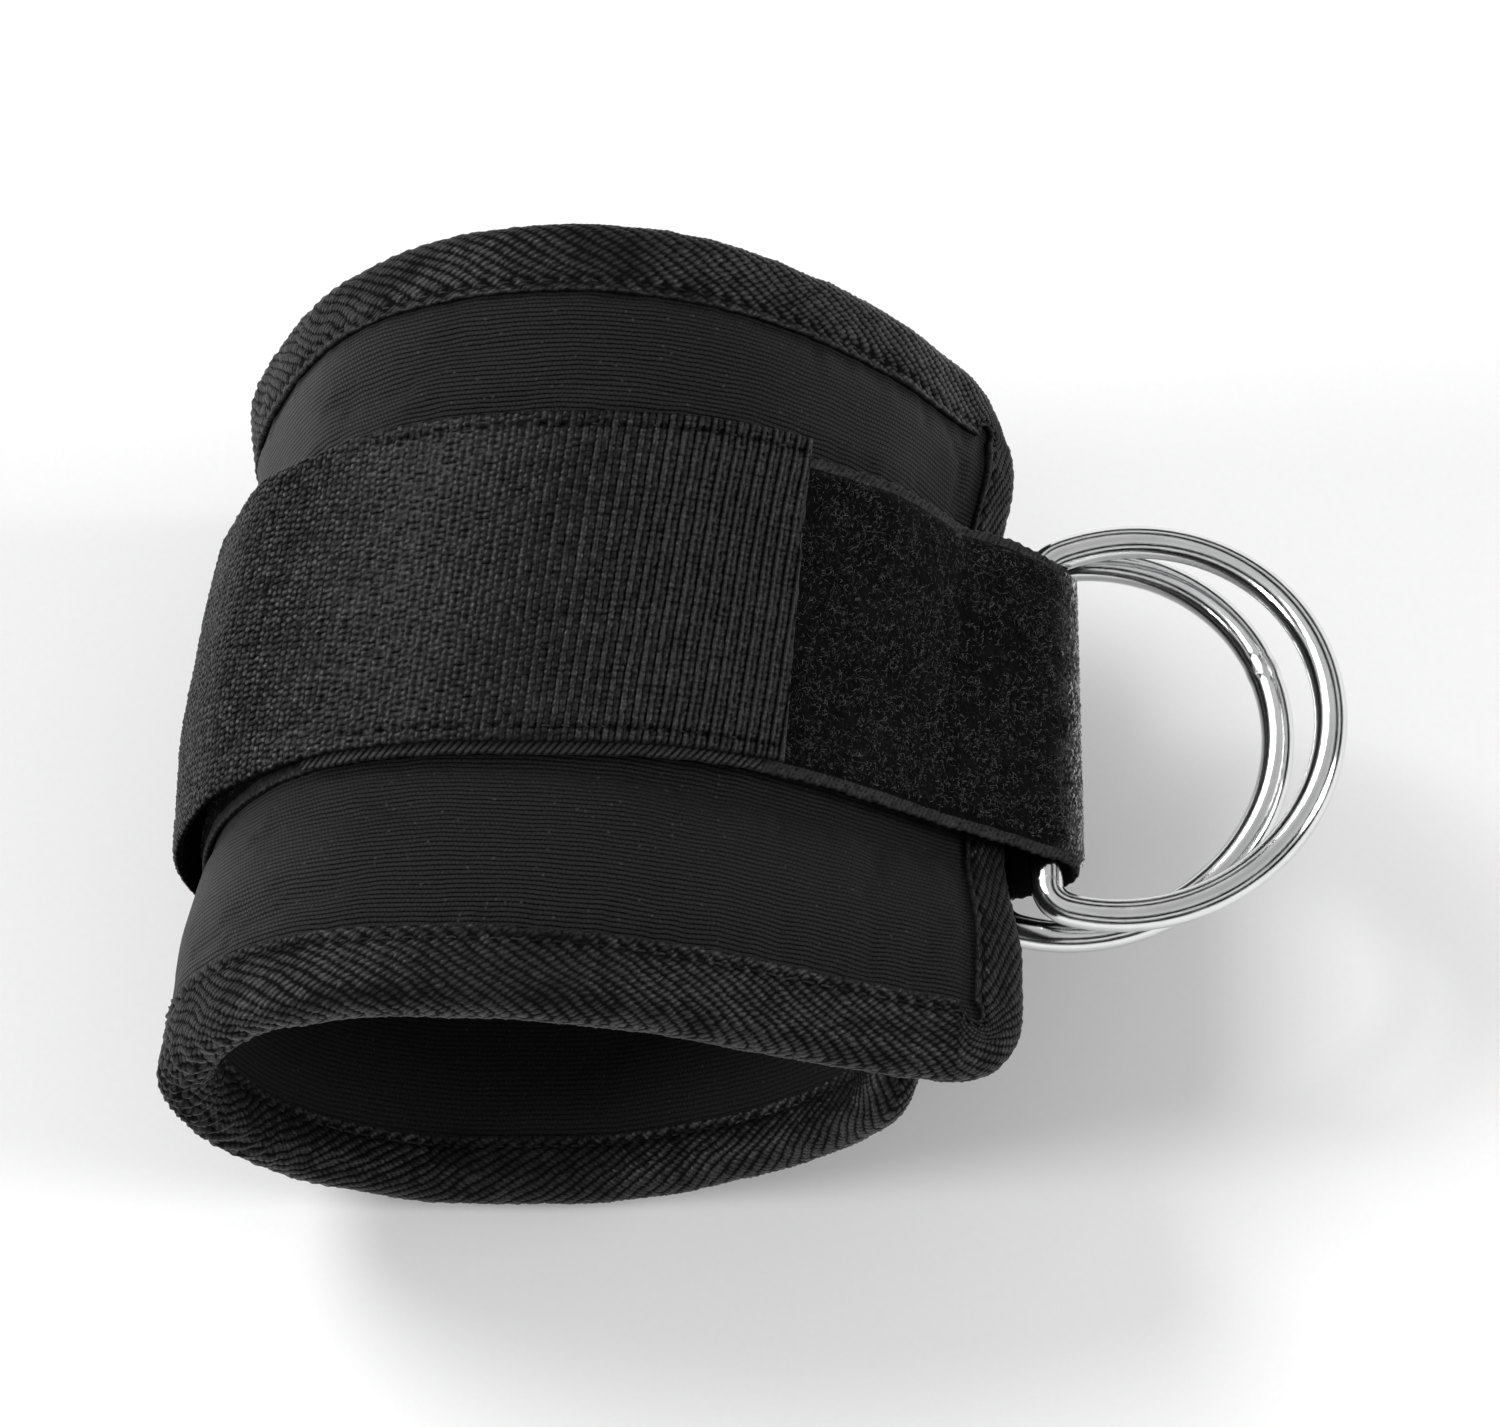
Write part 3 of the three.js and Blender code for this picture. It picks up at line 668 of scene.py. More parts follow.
def metal_material():
    """Bright wire with drawing lines along it, faint scuffs and a duller weld."""
    material = new_material("ring_metal")
    ring = attribute(material, "ring", "Vector")
    along, around, weld = split(ring)
    lines = noise(join(along * 0.05, around * 3.4, 0.0), scale=3.0, detail=3, roughness=0.65)
    blotch = noise(join(along, around * 2.0, 0.0), scale=0.11, detail=3, roughness=0.6)
    scuff = noise(join(along * 0.6, around * 8.0, 3.0), scale=1.2, detail=4, roughness=0.7)
    rough = blotch.ramp((0.35, 0.75), to=(0.07, 0.14)) + scuff.ramp((0.62, 0.78)) * 0.10
    rough = weld.times(0.12, plus=rough, clamp=True)
    color = mix(blotch.ramp((0.3, 0.8)), (0.66, 0.665, 0.67, 1), (0.80, 0.80, 0.80, 1))
    color = mix(weld.masked(0.3), color, (0.45, 0.44, 0.43, 1))
    height = lines * 0.010 + weld * noise(ring, scale=2.5, detail=3) * 0.05
    return finish(material, color, rough, height, metallic=1.0)


FACE = knit_material("face_knit", dark=0.0006, light=0.0150, pitch=0.68, specular=0.17,
                     specks=1.0, roughness=0.55, sheen=0.06, graze=1.6)
# The lining's colours are set well above the face's to paint in fill light inside the cuff.
LINING_WITH_PAINTED_FILL = knit_material("lining_knit", dark=0.0110, light=0.0300, pitch=0.8, specular=0.05,
                       specks=0.4, roughness=0.85, sheen=0.02, graze=0.0)
BINDING = yarn_material("binding_twill", dark=0.0030, light=0.0150, roughness=0.38,
                        specular=0.42, speck=0.8, band=(0.38, 1.40))
WEBBING = yarn_material("webbing", dark=0.0006, light=0.0090, roughness=0.36, specular=0.46,
                        speck=1.0, graze=0.9)
LOOP_BASE = yarn_material("loop_base", dark=0.0030, light=0.0280, roughness=0.6, specular=0.25,
                          speck=0.25, band=(0.35, 1.2))
THREAD = yarn_material("sewing_thread", dark=0.004, light=0.020, roughness=0.5, specular=0.25,
                       speck=0.1, hair=0.02)
HOOK = yarn_material("hook", dark=0.0030, light=0.0200, roughness=0.5, specular=0.3, speck=0.2)
PILE = pile_material()
FIBRE = fibre_material()
FOAM = foam_material()
METAL = metal_material()


# ---------------------------------------------------------------- how the pad's face fills out
def edge_distance(wrap, y):
    return np.minimum(np.minimum(wrap, PAD_LEN - wrap), HALF_WIDTH - np.abs(y))


def strap_distance(y):
    return np.clip(np.maximum(LOOP_Y[0] - y, y - LOOP_Y[1]), 0, 30)


def strap_cover(wrap, y):
    """1 where a strap presses on the face, falling to 0 beside it."""
    bare = rise(186, 196, wrap) * fall(198, 206, wrap)
    return bell(strap_distance(y), 0, 2.5) * (1 - bare)


SETTLE_WRAP = np.arange(4.0, PAD_LEN - 3.9, 2.2)
SETTLE_Y = np.arange(-56.0, 56.1, 2.0)
SOLVER_SCALE = 10.0                          # the solver is at ease at ten times size
LAST_FRAME = 24
CLOTH = dict(quality=6, mass=0.2, air_damping=2.0, tension_stiffness=12.0,
             compression_stiffness=8.0, shear_stiffness=4.0, bending_stiffness=0.15,
             vertex_group_mass="hold", pin_stiffness=4.0, use_pressure=True,
             uniform_pressure_force=1.2, shrink_min=-0.012, shrink_max=-0.012)


def settle():
    """Cloth simulation of the outer knit, held at the seam and under the straps and pushed out
    by pressure. Returns its movement along the normal, in mm, on the settle grid."""
    wrap, y = np.meshgrid(SETTLE_WRAP, SETTLE_Y, indexing="ij")
    base = to_frame(surface(wrap, y, SKIN + SKIN_T)) * SOLVER_SCALE
    quads = grid_quads(*wrap.shape)[0]
    normals = outward(wrap, y)
    facing = np.cross(base[1, 0] - base[0, 0], base[0, 1] - base[0, 0])
    if np.dot(facing, normals[0, 0]) < 0:
        quads = quads[:, ::-1]
    mesh = bpy.data.meshes.new("settle")
    mesh.from_pydata(base.reshape(-1, 3).tolist(), [], quads.tolist())
    ob = bpy.data.objects.new("settle", mesh)
    scene = bpy.context.scene
    scene.collection.objects.link(ob)
    hold = np.maximum(fall(9.5, 13.5, edge_distance(wrap, y)), strap_cover(wrap, y))
    group = ob.vertex_groups.new(name="hold")
    for index, weight in enumerate(hold.ravel()):
        group.add([index], float(weight), "REPLACE")
    cloth = ob.modifiers.new("cloth", "CLOTH")
    for key, value in CLOTH.items():
        setattr(cloth.settings, key, value)
    cloth.settings.effector_weights.gravity = 0.1
    cloth.collision_settings.use_collision = False
    cloth.point_cache.frame_start = 1
    cloth.point_cache.frame_end = LAST_FRAME
    for number in range(1, LAST_FRAME + 1):
        scene.frame_set(number)
    result = ob.evaluated_get(bpy.context.evaluated_depsgraph_get()).data
    moved = np.empty(len(result.vertices) * 3, np.float32)
    result.vertices.foreach_get("co", moved)
    scene.frame_set(1)
    bpy.data.objects.remove(ob)
    bpy.data.meshes.remove(mesh)
    shift = np.einsum("ijk,ijk->ij", moved.reshape(base.shape) - base, normals)
    shift = shift / SOLVER_SCALE * 1000
    if not np.isfinite(shift).all():         # the solver can blow up
        return 0 * wrap
    return shift * (1 - hold)


SETTLED = np.clip(settle(), -0.35, 0.9)


def settled(wrap, y):
    i, ti = grid_cell(wrap, SETTLE_WRAP[0], SETTLE_WRAP[1] - SETTLE_WRAP[0], len(SETTLE_WRAP))
    j, tj = grid_cell(y, SETTLE_Y[0], SETTLE_Y[1] - SETTLE_Y[0], len(SETTLE_Y))
    return bilinear(SETTLED, i, j, smooth(ti), smooth(tj))


def seam_swell(wrap, y, seam):
    """0 out to the seam, rising to 1 inside it."""
    return 1 - np.exp(-np.maximum(edge_distance(wrap, y) - seam, 0) / 4.0)


def puff(wrap, y):
    """The face's swell: the settled cloth and a small rise between seam and strap."""
    beside = np.where(wrap < 186, 1 - np.exp(-strap_distance(y) / 4.5), 1.0)
    ripple = 0.5 * vnoise(wrap / 17, y / 11, 3) + 0.25 * vnoise(wrap / 7, y / 6, 4)
    return (seam_swell(wrap, y, 10.0) * (0.2 + 0.8 * beside) * (0.25 + 0.15 * ripple)
            + settled(wrap, y))


def lining_swell(wrap, y):
    return -0.25 * (0.5 + 0.5 * vnoise(wrap / 14, y / 10, 8)) * seam_swell(wrap, y, 8)


def flat(wrap, y):
    return 0.0


def pad_sheet(name, material, inset, step, outer, inner, outer_swell=flat, inner_swell=flat):
    """One layer of the pad with rounded corners."""
    radius = CORNER_R - inset
    ends = inset + radius * (1 - np.cos(np.linspace(0, math.pi / 2, 9)))
    along = np.r_[ends, np.arange(CORNER_R + step, PAD_LEN - CORNER_R, step),
                  (PAD_LEN - ends)[::-1]]
    from_end = np.minimum(along, PAD_LEN - along)
    half = np.full(len(along), HALF_WIDTH - inset)
    corner = from_end < CORNER_R
    half[corner] -= radius - np.sqrt(
        np.maximum(0, radius * radius - (CORNER_R - from_end[corner]) ** 2))
    count = int(2 * (HALF_WIDTH - inset) / step)
    wrap = np.repeat(along[:, None], count, 1)
    y = half[:, None] * np.linspace(-1, 1, count)[None]
    return slab(name, surface(wrap, y, outer + outer_swell(wrap, y)),
                surface(wrap, y, inner + inner_swell(wrap, y)),
                np.stack([fabric(wrap, y), fabric(wrap, y, 5.0)]), material)


# ---------------------------------------------------------------- edge binding and its threads
def edge_path(step):
    """Points round the pad's outline (wrap, y, inward wrap, inward y), their run and its total."""
    near, far = -HALF_WIDTH + CORNER_R, HALF_WIDTH - CORNER_R
    left, right = PAD_LEN - CORNER_R, CORNER_R
    # straight side from, to, its inward direction; centre and first angle of the next corner
    sides = (((right, -HALF_WIDTH), (left, -HALF_WIDTH), (0, 1), (left, near), -90),
             ((PAD_LEN, near), (PAD_LEN, far), (-1, 0), (left, far), 0),
             ((left, HALF_WIDTH), (right, HALF_WIDTH), (0, -1), (right, far), 90),
             ((0, far), (0, near), (1, 0), (right, near), 180))
    parts = []
    for start, end, inward, centre, angle in sides:
        count = int(round(math.hypot(end[0] - start[0], end[1] - start[1]) / step))
        t = np.arange(count)[:, None] / count
        parts.append(np.hstack([lerp(np.array(start), np.array(end), t),
                                np.tile(inward, (count, 1))]))
        count = int(round(CORNER_R * math.pi / 2 / step))
        turn = np.radians(lerp(angle, angle + 90, np.arange(count) / count))
        away = np.stack([np.cos(turn), np.sin(turn)], 1)
        parts.append(np.hstack([np.array(centre) + CORNER_R * away, -away]))
    path = np.vstack(parts)
    after = np.roll(path, -1, 0)
    steps = np.hypot(after[:, 0] - path[:, 0], after[:, 1] - path[:, 1])
    return path, np.r_[0, np.cumsum(steps)[:-1]], steps.sum()


def outer_reach(wrap, in_wrap, in_y):
    """Reach of the tape on the outside, less along the right end and round its corners."""
    less = 2.3 * np.maximum(in_wrap, 0) + 2.4 * np.abs(2 * in_wrap * in_y) ** 1.5
    return BIND_OUT - np.where(wrap < 20, less, 0.0)


# Tape across its width: outer flat, half round over the rim, inner flat.
OUTER_FLAT, HALF_ROUND = BIND_OUT - RIM_R, math.pi * RIM_R
TAPE_WIDTH = OUTER_FLAT + HALF_ROUND + BIND_IN - RIM_R
ROUND_END = OUTER_FLAT + HALF_ROUND
TWILL_SLANT, TWILL_PITCH = math.radians(31), 1.42


def tape_section(tape, radius):
    """Distance in from the pad's edge, out, and the turn round the rim, at tape mm across."""
    turn = np.clip(tape - OUTER_FLAT, 0, HALF_ROUND) / RIM_R
    inset = (RIM_R - radius * np.sin(turn) + np.maximum(OUTER_FLAT - tape, 0)
             + np.maximum(tape - ROUND_END, 0))
    return inset, radius * np.cos(turn), turn


def twill(run, tape, total, bunch):
    """Relief of the slanted ridges, which meet in a V along the tape, about 0 to 1."""
    wobble = (1.5 * vnoise(run / 7.0, tape / 5.0, 11)
              + 0.6 * vnoise(run / 2.3, tape / 2.0, 12))
    ridges = total * math.sin(TWILL_SLANT) / TWILL_PITCH
    whole = round(ridges) / ridges           # a whole number of ridges round the edge
    spine = TAPE_WIDTH * 0.53
    vee = np.sqrt((tape - spine) ** 2 + 0.5)
    phase = (run * math.sin(TWILL_SLANT) * whole - vee * math.cos(TWILL_SLANT)
             + 0.26 * wobble * (1 + 1.8 * bunch)) / TWILL_PITCH
    ridge = np.floor(phase)
    part = phase - ridge
    # strands lie slanted across each ridge, like a laid rope
    along = ((run * math.cos(TWILL_SLANT)
              - np.sign(spine - tape) * tape * math.sin(TWILL_SLANT)) / 0.86
             + 0.5 * ridge + 0.40 * vnoise(ridge * 0.73, run / 2.1, 17))
    bead = rib(along - 0.85 * (part - 0.5), 1.15)
    return ((0.16 + 0.84 * rib(part, 0.75)) * (0.36 + 0.64 * bead)
            * (1 + 0.30 * vnoise(ridge * 1.37, along * 1.7, 19))
            * (1 + 0.22 * vnoise(run / 5.0, tape / 3.2, 20)))


def edge_binding():
    path, run, total = edge_path(0.28)
    wrap, y, in_wrap, in_y = (path[:, k:k + 1] for k in range(4))
    run = run[:, None]
    tape = np.linspace(0, TAPE_WIDTH, int(TAPE_WIDTH / 0.27))[None]
    # the tape bunches at the tight bend on the left, mostly on the near edge
    bunch = (bell(wrap, 152, 26) * rise(-50, -60, y)
             + 0.35 * bell(wrap, 150, 30) * rise(50, 60, y))
    relief = twill(run, tape, total, bunch)
    height = (0.29 + 0.17 * bunch) * (relief - 0.62)
    # puckers
    gather = wave(run / 3.4 + 0.9 * vnoise(run / 9, tape / 6, 13), 1)
    height = (height + bunch * 0.55 * gather * bell(tape, TAPE_WIDTH * 0.60, TAPE_WIDTH * 0.24)
              + 0.20 * vnoise(run / 7.5, tape / 4.5, 14)
              + 0.10 * vnoise(run / 3.1, tape / 3.0, 18))
    # dents at the stitches, painted darker through rel as well (painted shade)
    stitch = 0.5 + 0.5 * np.cos(2 * math.pi * run / SEAM_PITCH)
    seams = bell(tape, OUTER_SEAM, 0.7) + bell(tape, TAPE_WIDTH - INNER_SEAM, 0.7)
    height = height - (0.22 + 0.34 * stitch) * seams
    relief = relief * (1 - 0.55 * np.clip(stitch * seams, 0, 1))
    # the tape's edges curl up a touch
    curl = np.exp(-tape / 0.9) + np.exp(-(TAPE_WIDTH - tape) / 0.9)
    height = height + 0.10 * curl * (0.6 + 0.4 * wave(run, 1.5))
    edge_yarn = 0.35 + 0.6 * np.abs(np.sin(math.pi * run / 1.05 + 0.6))
    relief = np.maximum(relief, np.clip(curl, 0, 1) * edge_yarn * 0.9)
    # the rim is uneven
    height = height + (0.22 * bell(tape, OUTER_FLAT + HALF_ROUND / 2, 5.0)
                       * vnoise(run / 16, 0.5, 15))
    ragged = 0.14 * (wave(run, SEAM_PITCH) + vnoise(run / 2.5, 0.2, 16)) * np.exp(-tape / 1.6)
    inset, out, turn = tape_section(tape, RIM_R)
    inset = inset - np.sin(turn) * height + ragged
    out = out + np.cos(turn) * height
    # plain underside of the tape
    under = np.r_[np.linspace(TAPE_WIDTH, ROUND_END, 5),
                  np.linspace(ROUND_END, OUTER_FLAT, 12)[1:-1],
                  np.linspace(OUTER_FLAT, 0, 7)][None]
    under_inset, under_out, _ = tape_section(under, RIM_R - BIND_T)
    under_out = under_out - bell(under, OUTER_SEAM, 1.2) * 0.15
    shape = (len(run), under.shape[1])
    inset = np.hstack([inset, np.broadcast_to(under_inset, shape)])
    out = np.hstack([out, np.broadcast_to(under_out, shape)])
    narrow = (outer_reach(wrap, in_wrap, in_y) - RIM_R) / (BIND_OUT - RIM_R)
    inset = np.where(np.hstack([tape, under]) < OUTER_FLAT,
                     RIM_R + (inset - RIM_R) * narrow, inset)
    points = surface(wrap + in_wrap * inset, y + in_y * inset, out)
    relief = np.hstack([np.clip(relief, 0, 1), np.full(shape, 0.3)])
    return tube("edge_binding", points,
                {"fab": fabric(run, np.hstack([tape, under + 40])), "rel": relief},
                [BINDING], closed=True, rows=5)


def stitches(name, centre, up, along, length, width, seed):
    """Lens-shaped stitches; centre, up and along are (count, 3)."""
    height = 0.34
    count = len(centre)
    rng = np.random.default_rng(seed)
    t = np.linspace(-1, 1, 7)[None, :, None]
    taper = np.sqrt(np.clip(1 - t ** 2, 0, 1)) ** 0.6 * 0.9 + 0.1
    side = np.cross(along, up)
    stretch = 1 + 0.07 * rng.standard_normal((count, 1))
    skew = 0.10 * rng.standard_normal((count, 1))
    path = (centre[:, None] + (along + side * skew)[:, None] * (t * (length / 2) * stretch[:, None])
            - up[:, None] * (t ** 2 * height * 1.1))
    rings = rings_round(path, side[:, None] * (width / 2 * taper),
                        up[:, None] * (height / 2 * taper), sides=6)
    return batch(name, rings, {"fab": centre + 200, "rel": 0.4 + 0.6 * rng.random(count)}, THREAD)


def stitch_frame(wrap, y, out, along_wrap, along_y):
    """Centre, outward normal and direction of stitches running along (along_wrap, along_y)."""
    reach = 0.4
    along = (surface(wrap + along_wrap * reach, y + along_y * reach, out)
             - surface(wrap - along_wrap * reach, y - along_y * reach, out))
    along /= np.linalg.norm(along, axis=1)[:, None]
    up = outward(wrap, y)
    up -= along * np.einsum("ij,ij->i", up, along)[:, None]
    up /= np.linalg.norm(up, axis=1)[:, None]
    return surface(wrap, y, out), up, along


def edge_thread(name, outer, out, seed):
    path, run, total = edge_path(0.25)
    count = int(round(total / SEAM_PITCH))
    index = np.searchsorted(run, np.arange(count) * total / count) % len(run)
    wrap, y, in_wrap, in_y = path[index].T
    inset = outer_reach(wrap, in_wrap, in_y) - OUTER_SEAM if outer else BIND_IN - INNER_SEAM
    centre, up, along = stitch_frame(wrap + in_wrap * inset, y + in_y * inset, out,
                                     in_y, -in_wrap)
    return stitches(name, centre, up if outer else -up, along, length=2.2, width=0.42, seed=seed)


face = pad_sheet("face_fabric", FACE, inset=3.4, step=0.8, outer=SKIN + SKIN_T, inner=SKIN,
                 outer_swell=puff, inner_swell=puff)
lining = pad_sheet("lining_fabric", LINING_WITH_PAINTED_FILL, inset=3.4, step=0.9, outer=-SKIN,
                   inner=-SKIN - SKIN_T, inner_swell=lining_swell)
foam = pad_sheet("foam_core", FOAM, inset=2.4, step=1.6, outer=FOAM_T / 2, inner=-FOAM_T / 2)
binding = edge_binding()
outer_thread = edge_thread("binding_thread_outer", True, RIM_R - 0.42, seed=5)
inner_thread = edge_thread("binding_thread_inner", False, -RIM_R + 0.40, seed=6)

# ---------------------------------------------------------------- loop strap
# Last stations on the pad before the rings: wrap, extra height, wrap that gives the normal.
RUN_UP = np.array([(28, 0.12, 28), (24, 0.45, 26), (20.5, 0.85, 23), (17, 1.25, 20)])


def loop_path(y):
    """Centre line of the strap at one y and its outward normals, as x, z."""
    points, normals = [], []

    def add(part, normal):
        points.append(part)
        normals.append(np.broadcast_to(normal, part.shape))

    def on_pad(wrap, out, facing):
        add(surface(wrap, y, out)[:, ::2], outward(facing, y)[:, ::2])

    def direction(angle):
        return np.stack([np.cos(angle), np.sin(angle)], -1)

    def sweep(centre, radius, start, end, steps):
        """Clockwise arc."""
        turn = -((start - end) % (2 * math.pi))
        away = direction(start + turn * np.arange(steps + 1) / steps)
        add(centre + radius * away, away)

    wrap = np.arange(LOOP_START, 30, -0.9)
    on_pad(wrap, LOOP_MID + lift(wrap, y), wrap)
    wrap, extra, facing = RUN_UP.T
    on_pad(wrap, LOOP_MID + extra + lift(wrap, y), facing)
    # straight to the fold round the outer ring, the far edge arching over
    fold, bar = np.array([FOLD_AT, INNER_BAR]) + (0, AXIS_Z)
    last = points[-1][-1]
    dx, dz = fold - last
    first = math.atan2(dz, dx) + math.asin(FOLD_R / math.hypot(dx, dz)) + math.pi / 2
    dx, dz = bar - fold
    second = math.atan2(dz, dx) + math.acos((FOLD_R - INNER_FOLD_R) / math.hypot(dx, dz))
    normal = direction(first)
    t = np.linspace(0, 1, 44)[1:-1, None]
    arch = 6 * t * (1 - t) * rise(0, 27, y)
    add(lerp(last, fold + FOLD_R * normal, t) + arch * normal, normal)
    sweep(fold, FOLD_R, first, second, 30)
    # on round the inner ring's bar and back under the pad's other end
    landing = surface(284, y, LOOP_MID)[::2]
    dx, dz = landing - bar
    leave = math.atan2(dz, dx) + math.acos(INNER_FOLD_R / math.hypot(dx, dz))
    sweep(bar, INNER_FOLD_R, second, leave, 12)
    t = np.linspace(0, 1, 12)[1:-1, None]
    add(lerp(points[-1][-1], landing, t), direction(leave))
    wrap = np.arange(282, 252.9, -1.0)
    on_pad(wrap, LOOP_MID, wrap)
    return np.vstack(points), np.vstack(normals)


def loop_tables():
    """Run, and softened points and normals (y, run, xz) of the strap."""
    paths = [loop_path(y) for y in LOOP_ROWS]
    run = np.arange(0, np.mean([arc_length(points)[-1] for points, _ in paths]), 0.3)
    all_points, all_normals = [], []
    for points, normals in paths:
        known = arc_length(points)
        at = run / run[-1] * known[-1]
        line = softened(columns_at(at, known, points), 6, 2.4)
        tangent = np.gradient(line, axis=0)
        tangent /= np.linalg.norm(tangent, axis=1)[:, None]
        normal = tangent[:, ::-1] * (-1, 1)
        rough = columns_at(at, known, normals)
        normal *= np.sign(np.einsum("ij,ij->i", normal, rough))[:, None]
        all_points.append(line)
        all_normals.append(normal)
    return run, np.array(all_points), np.array(all_normals)


LOOP_ROWS = np.linspace(LOOP_Y[0] - 1, LOOP_Y[1] + 1, 9)
LOOP_RUN, LOOP_POINTS, LOOP_NORMALS = loop_tables()
LOOP_LEN = LOOP_RUN[-1]
# pale crease just before the strap's rightmost point: ground showing and a painted rim light
CREASE = float(LOOP_RUN[int(np.argmax(LOOP_POINTS[len(LOOP_ROWS) // 2][:, 0]))]) - 1.6


def loop_point(run, y, out):
    """Point out mm from the strap's centre line, and the normal there."""
    run, y, out = np.broadcast_arrays(run, y, out)
    j, tj = grid_cell(y, LOOP_ROWS[0], LOOP_ROWS[1] - LOOP_ROWS[0], len(LOOP_ROWS))
    i, ti = grid_cell(run, 0, LOOP_RUN[1] - LOOP_RUN[0], len(LOOP_RUN))
    tj, ti = tj[..., None], ti[..., None]
    normal = bilinear(LOOP_NORMALS, j, i, tj, ti)
    normal /= np.linalg.norm(normal, axis=-1)[..., None]
    point = bilinear(LOOP_POINTS, j, i, tj, ti) + normal * out[..., None]
    y = y + drift(LOOP_START - run)
    return (np.stack([point[..., 0], y, np.maximum(0, point[..., 1])], -1),
            np.stack([normal[..., 0], 0 * y, normal[..., 1]], -1))


def strap_profile(edges, radius, step):
    """Closed strap section: y, and side from +1 outside to -1 inside."""
    y0, y1 = edges
    arc = np.radians([0, 30, 60])
    count = int((y1 - y0) / step)
    y = np.r_[y0 + radius - radius * np.cos(arc), np.linspace(y0 + radius, y1 - radius, count),
              (y1 - radius + radius * np.cos(arc))[::-1]]
    side = np.r_[np.sin(arc), np.ones(count), np.sin(arc)[::-1]]
    return np.r_[y, y[-2:0:-1]], np.r_[side, -side[-2:0:-1]]


def from_edge(y, edges):
    return np.minimum(y - edges[0], edges[1] - y)


def crease_ground_and_rim_light(run):
    """Where the strap turns round the rings the pile parts and its ground shows lighter; the mark
    also paints a rim light there.
    """
    return bell(run, CREASE, 3.0)


def loop_strap():
    y, side = strap_profile(LOOP_Y, 0.5, 0.42)
    run = np.arange(0, LOOP_LEN, 0.42)[:, None]
    edge = from_edge(y, LOOP_Y)
    hand = np.sign(y - 2)                    # which edge is nearer
    # pile field between the woven selvedges
    pile = rise(1.7, 2.7, edge + 0.5 * vnoise(run / 3.2, hand * 3.0, 21))
    fuzz = (0.55 * vnoise(run / 1.05, y / 1.05, 22) + 0.45 * vnoise(run / 0.6, y / 0.6, 23)
            + 0.5 * vnoise(run / 4.2, y / 3.6, 24))
    selvedge = 0.13 * rib(run / 0.95 + edge / 1.5) + 0.05 * vnoise(run / 0.5, y / 0.5, 25)
    outer = LOOP_T / 2 - 0.62 * (1 - pile) + pile * 0.17 * fuzz + (1 - pile) * selvedge
    inner = LOOP_T / 2 - 0.1 + 0.08 * rib(run / 0.9) * (0.6 + 0.4 * rib(y / 0.8))
    # fold marks the outside at the crease for the pale ground and the painted rim light
    fold = crease_ground_and_rim_light(run) * np.where(side > 0, 1.0, 0.0)
    ground = rib(run / 0.95 + y / 1.9, 0.8) * rib(y / 0.85 - run / 2.6, 0.8)
    outer = outer - fold * pile * (0.30 - 0.34 * ground)
    height = np.where(side >= 0, side * outer - (1 - side) * 0.25,
                      side * inner - (1 + side) * 0.25)
    scallop = 0.14 * wave(run, 1.9) + 0.16 * vnoise(run / 2.4, hand, 26)
    edge_y = y + hand * scallop * np.exp(-edge / 0.8)
    points, _ = loop_point(run, edge_y, height)
    relief = np.where(side > 0, pile * (0.5 + 0.35 * fuzz) + (1 - pile) * (0.3 + selvedge * 4),
                      0.4)
    relief = lerp(relief, 0.15 + 0.85 * ground + 0.15 * fuzz, fold)
    ob = tube("loop_strap", points,
              {"fab": fabric(run, edge_y, np.where(side > 0, 0, 30)),
               "rel": np.clip(relief, 0, 1), "fold": fold}, [PILE, LOOP_BASE], rows=3)
    # the selvedges, the back and the ends are woven
    woven = (edge < 2.1) | (side <= 0)
    strip = np.tile(woven & np.roll(woven, -1), len(run) - 1)
    slots = np.ones(len(ob.data.polygons), np.int32)
    slots[:len(strip)] = strip
    ob.data.polygons.foreach_set("material_index", slots)
    return ob


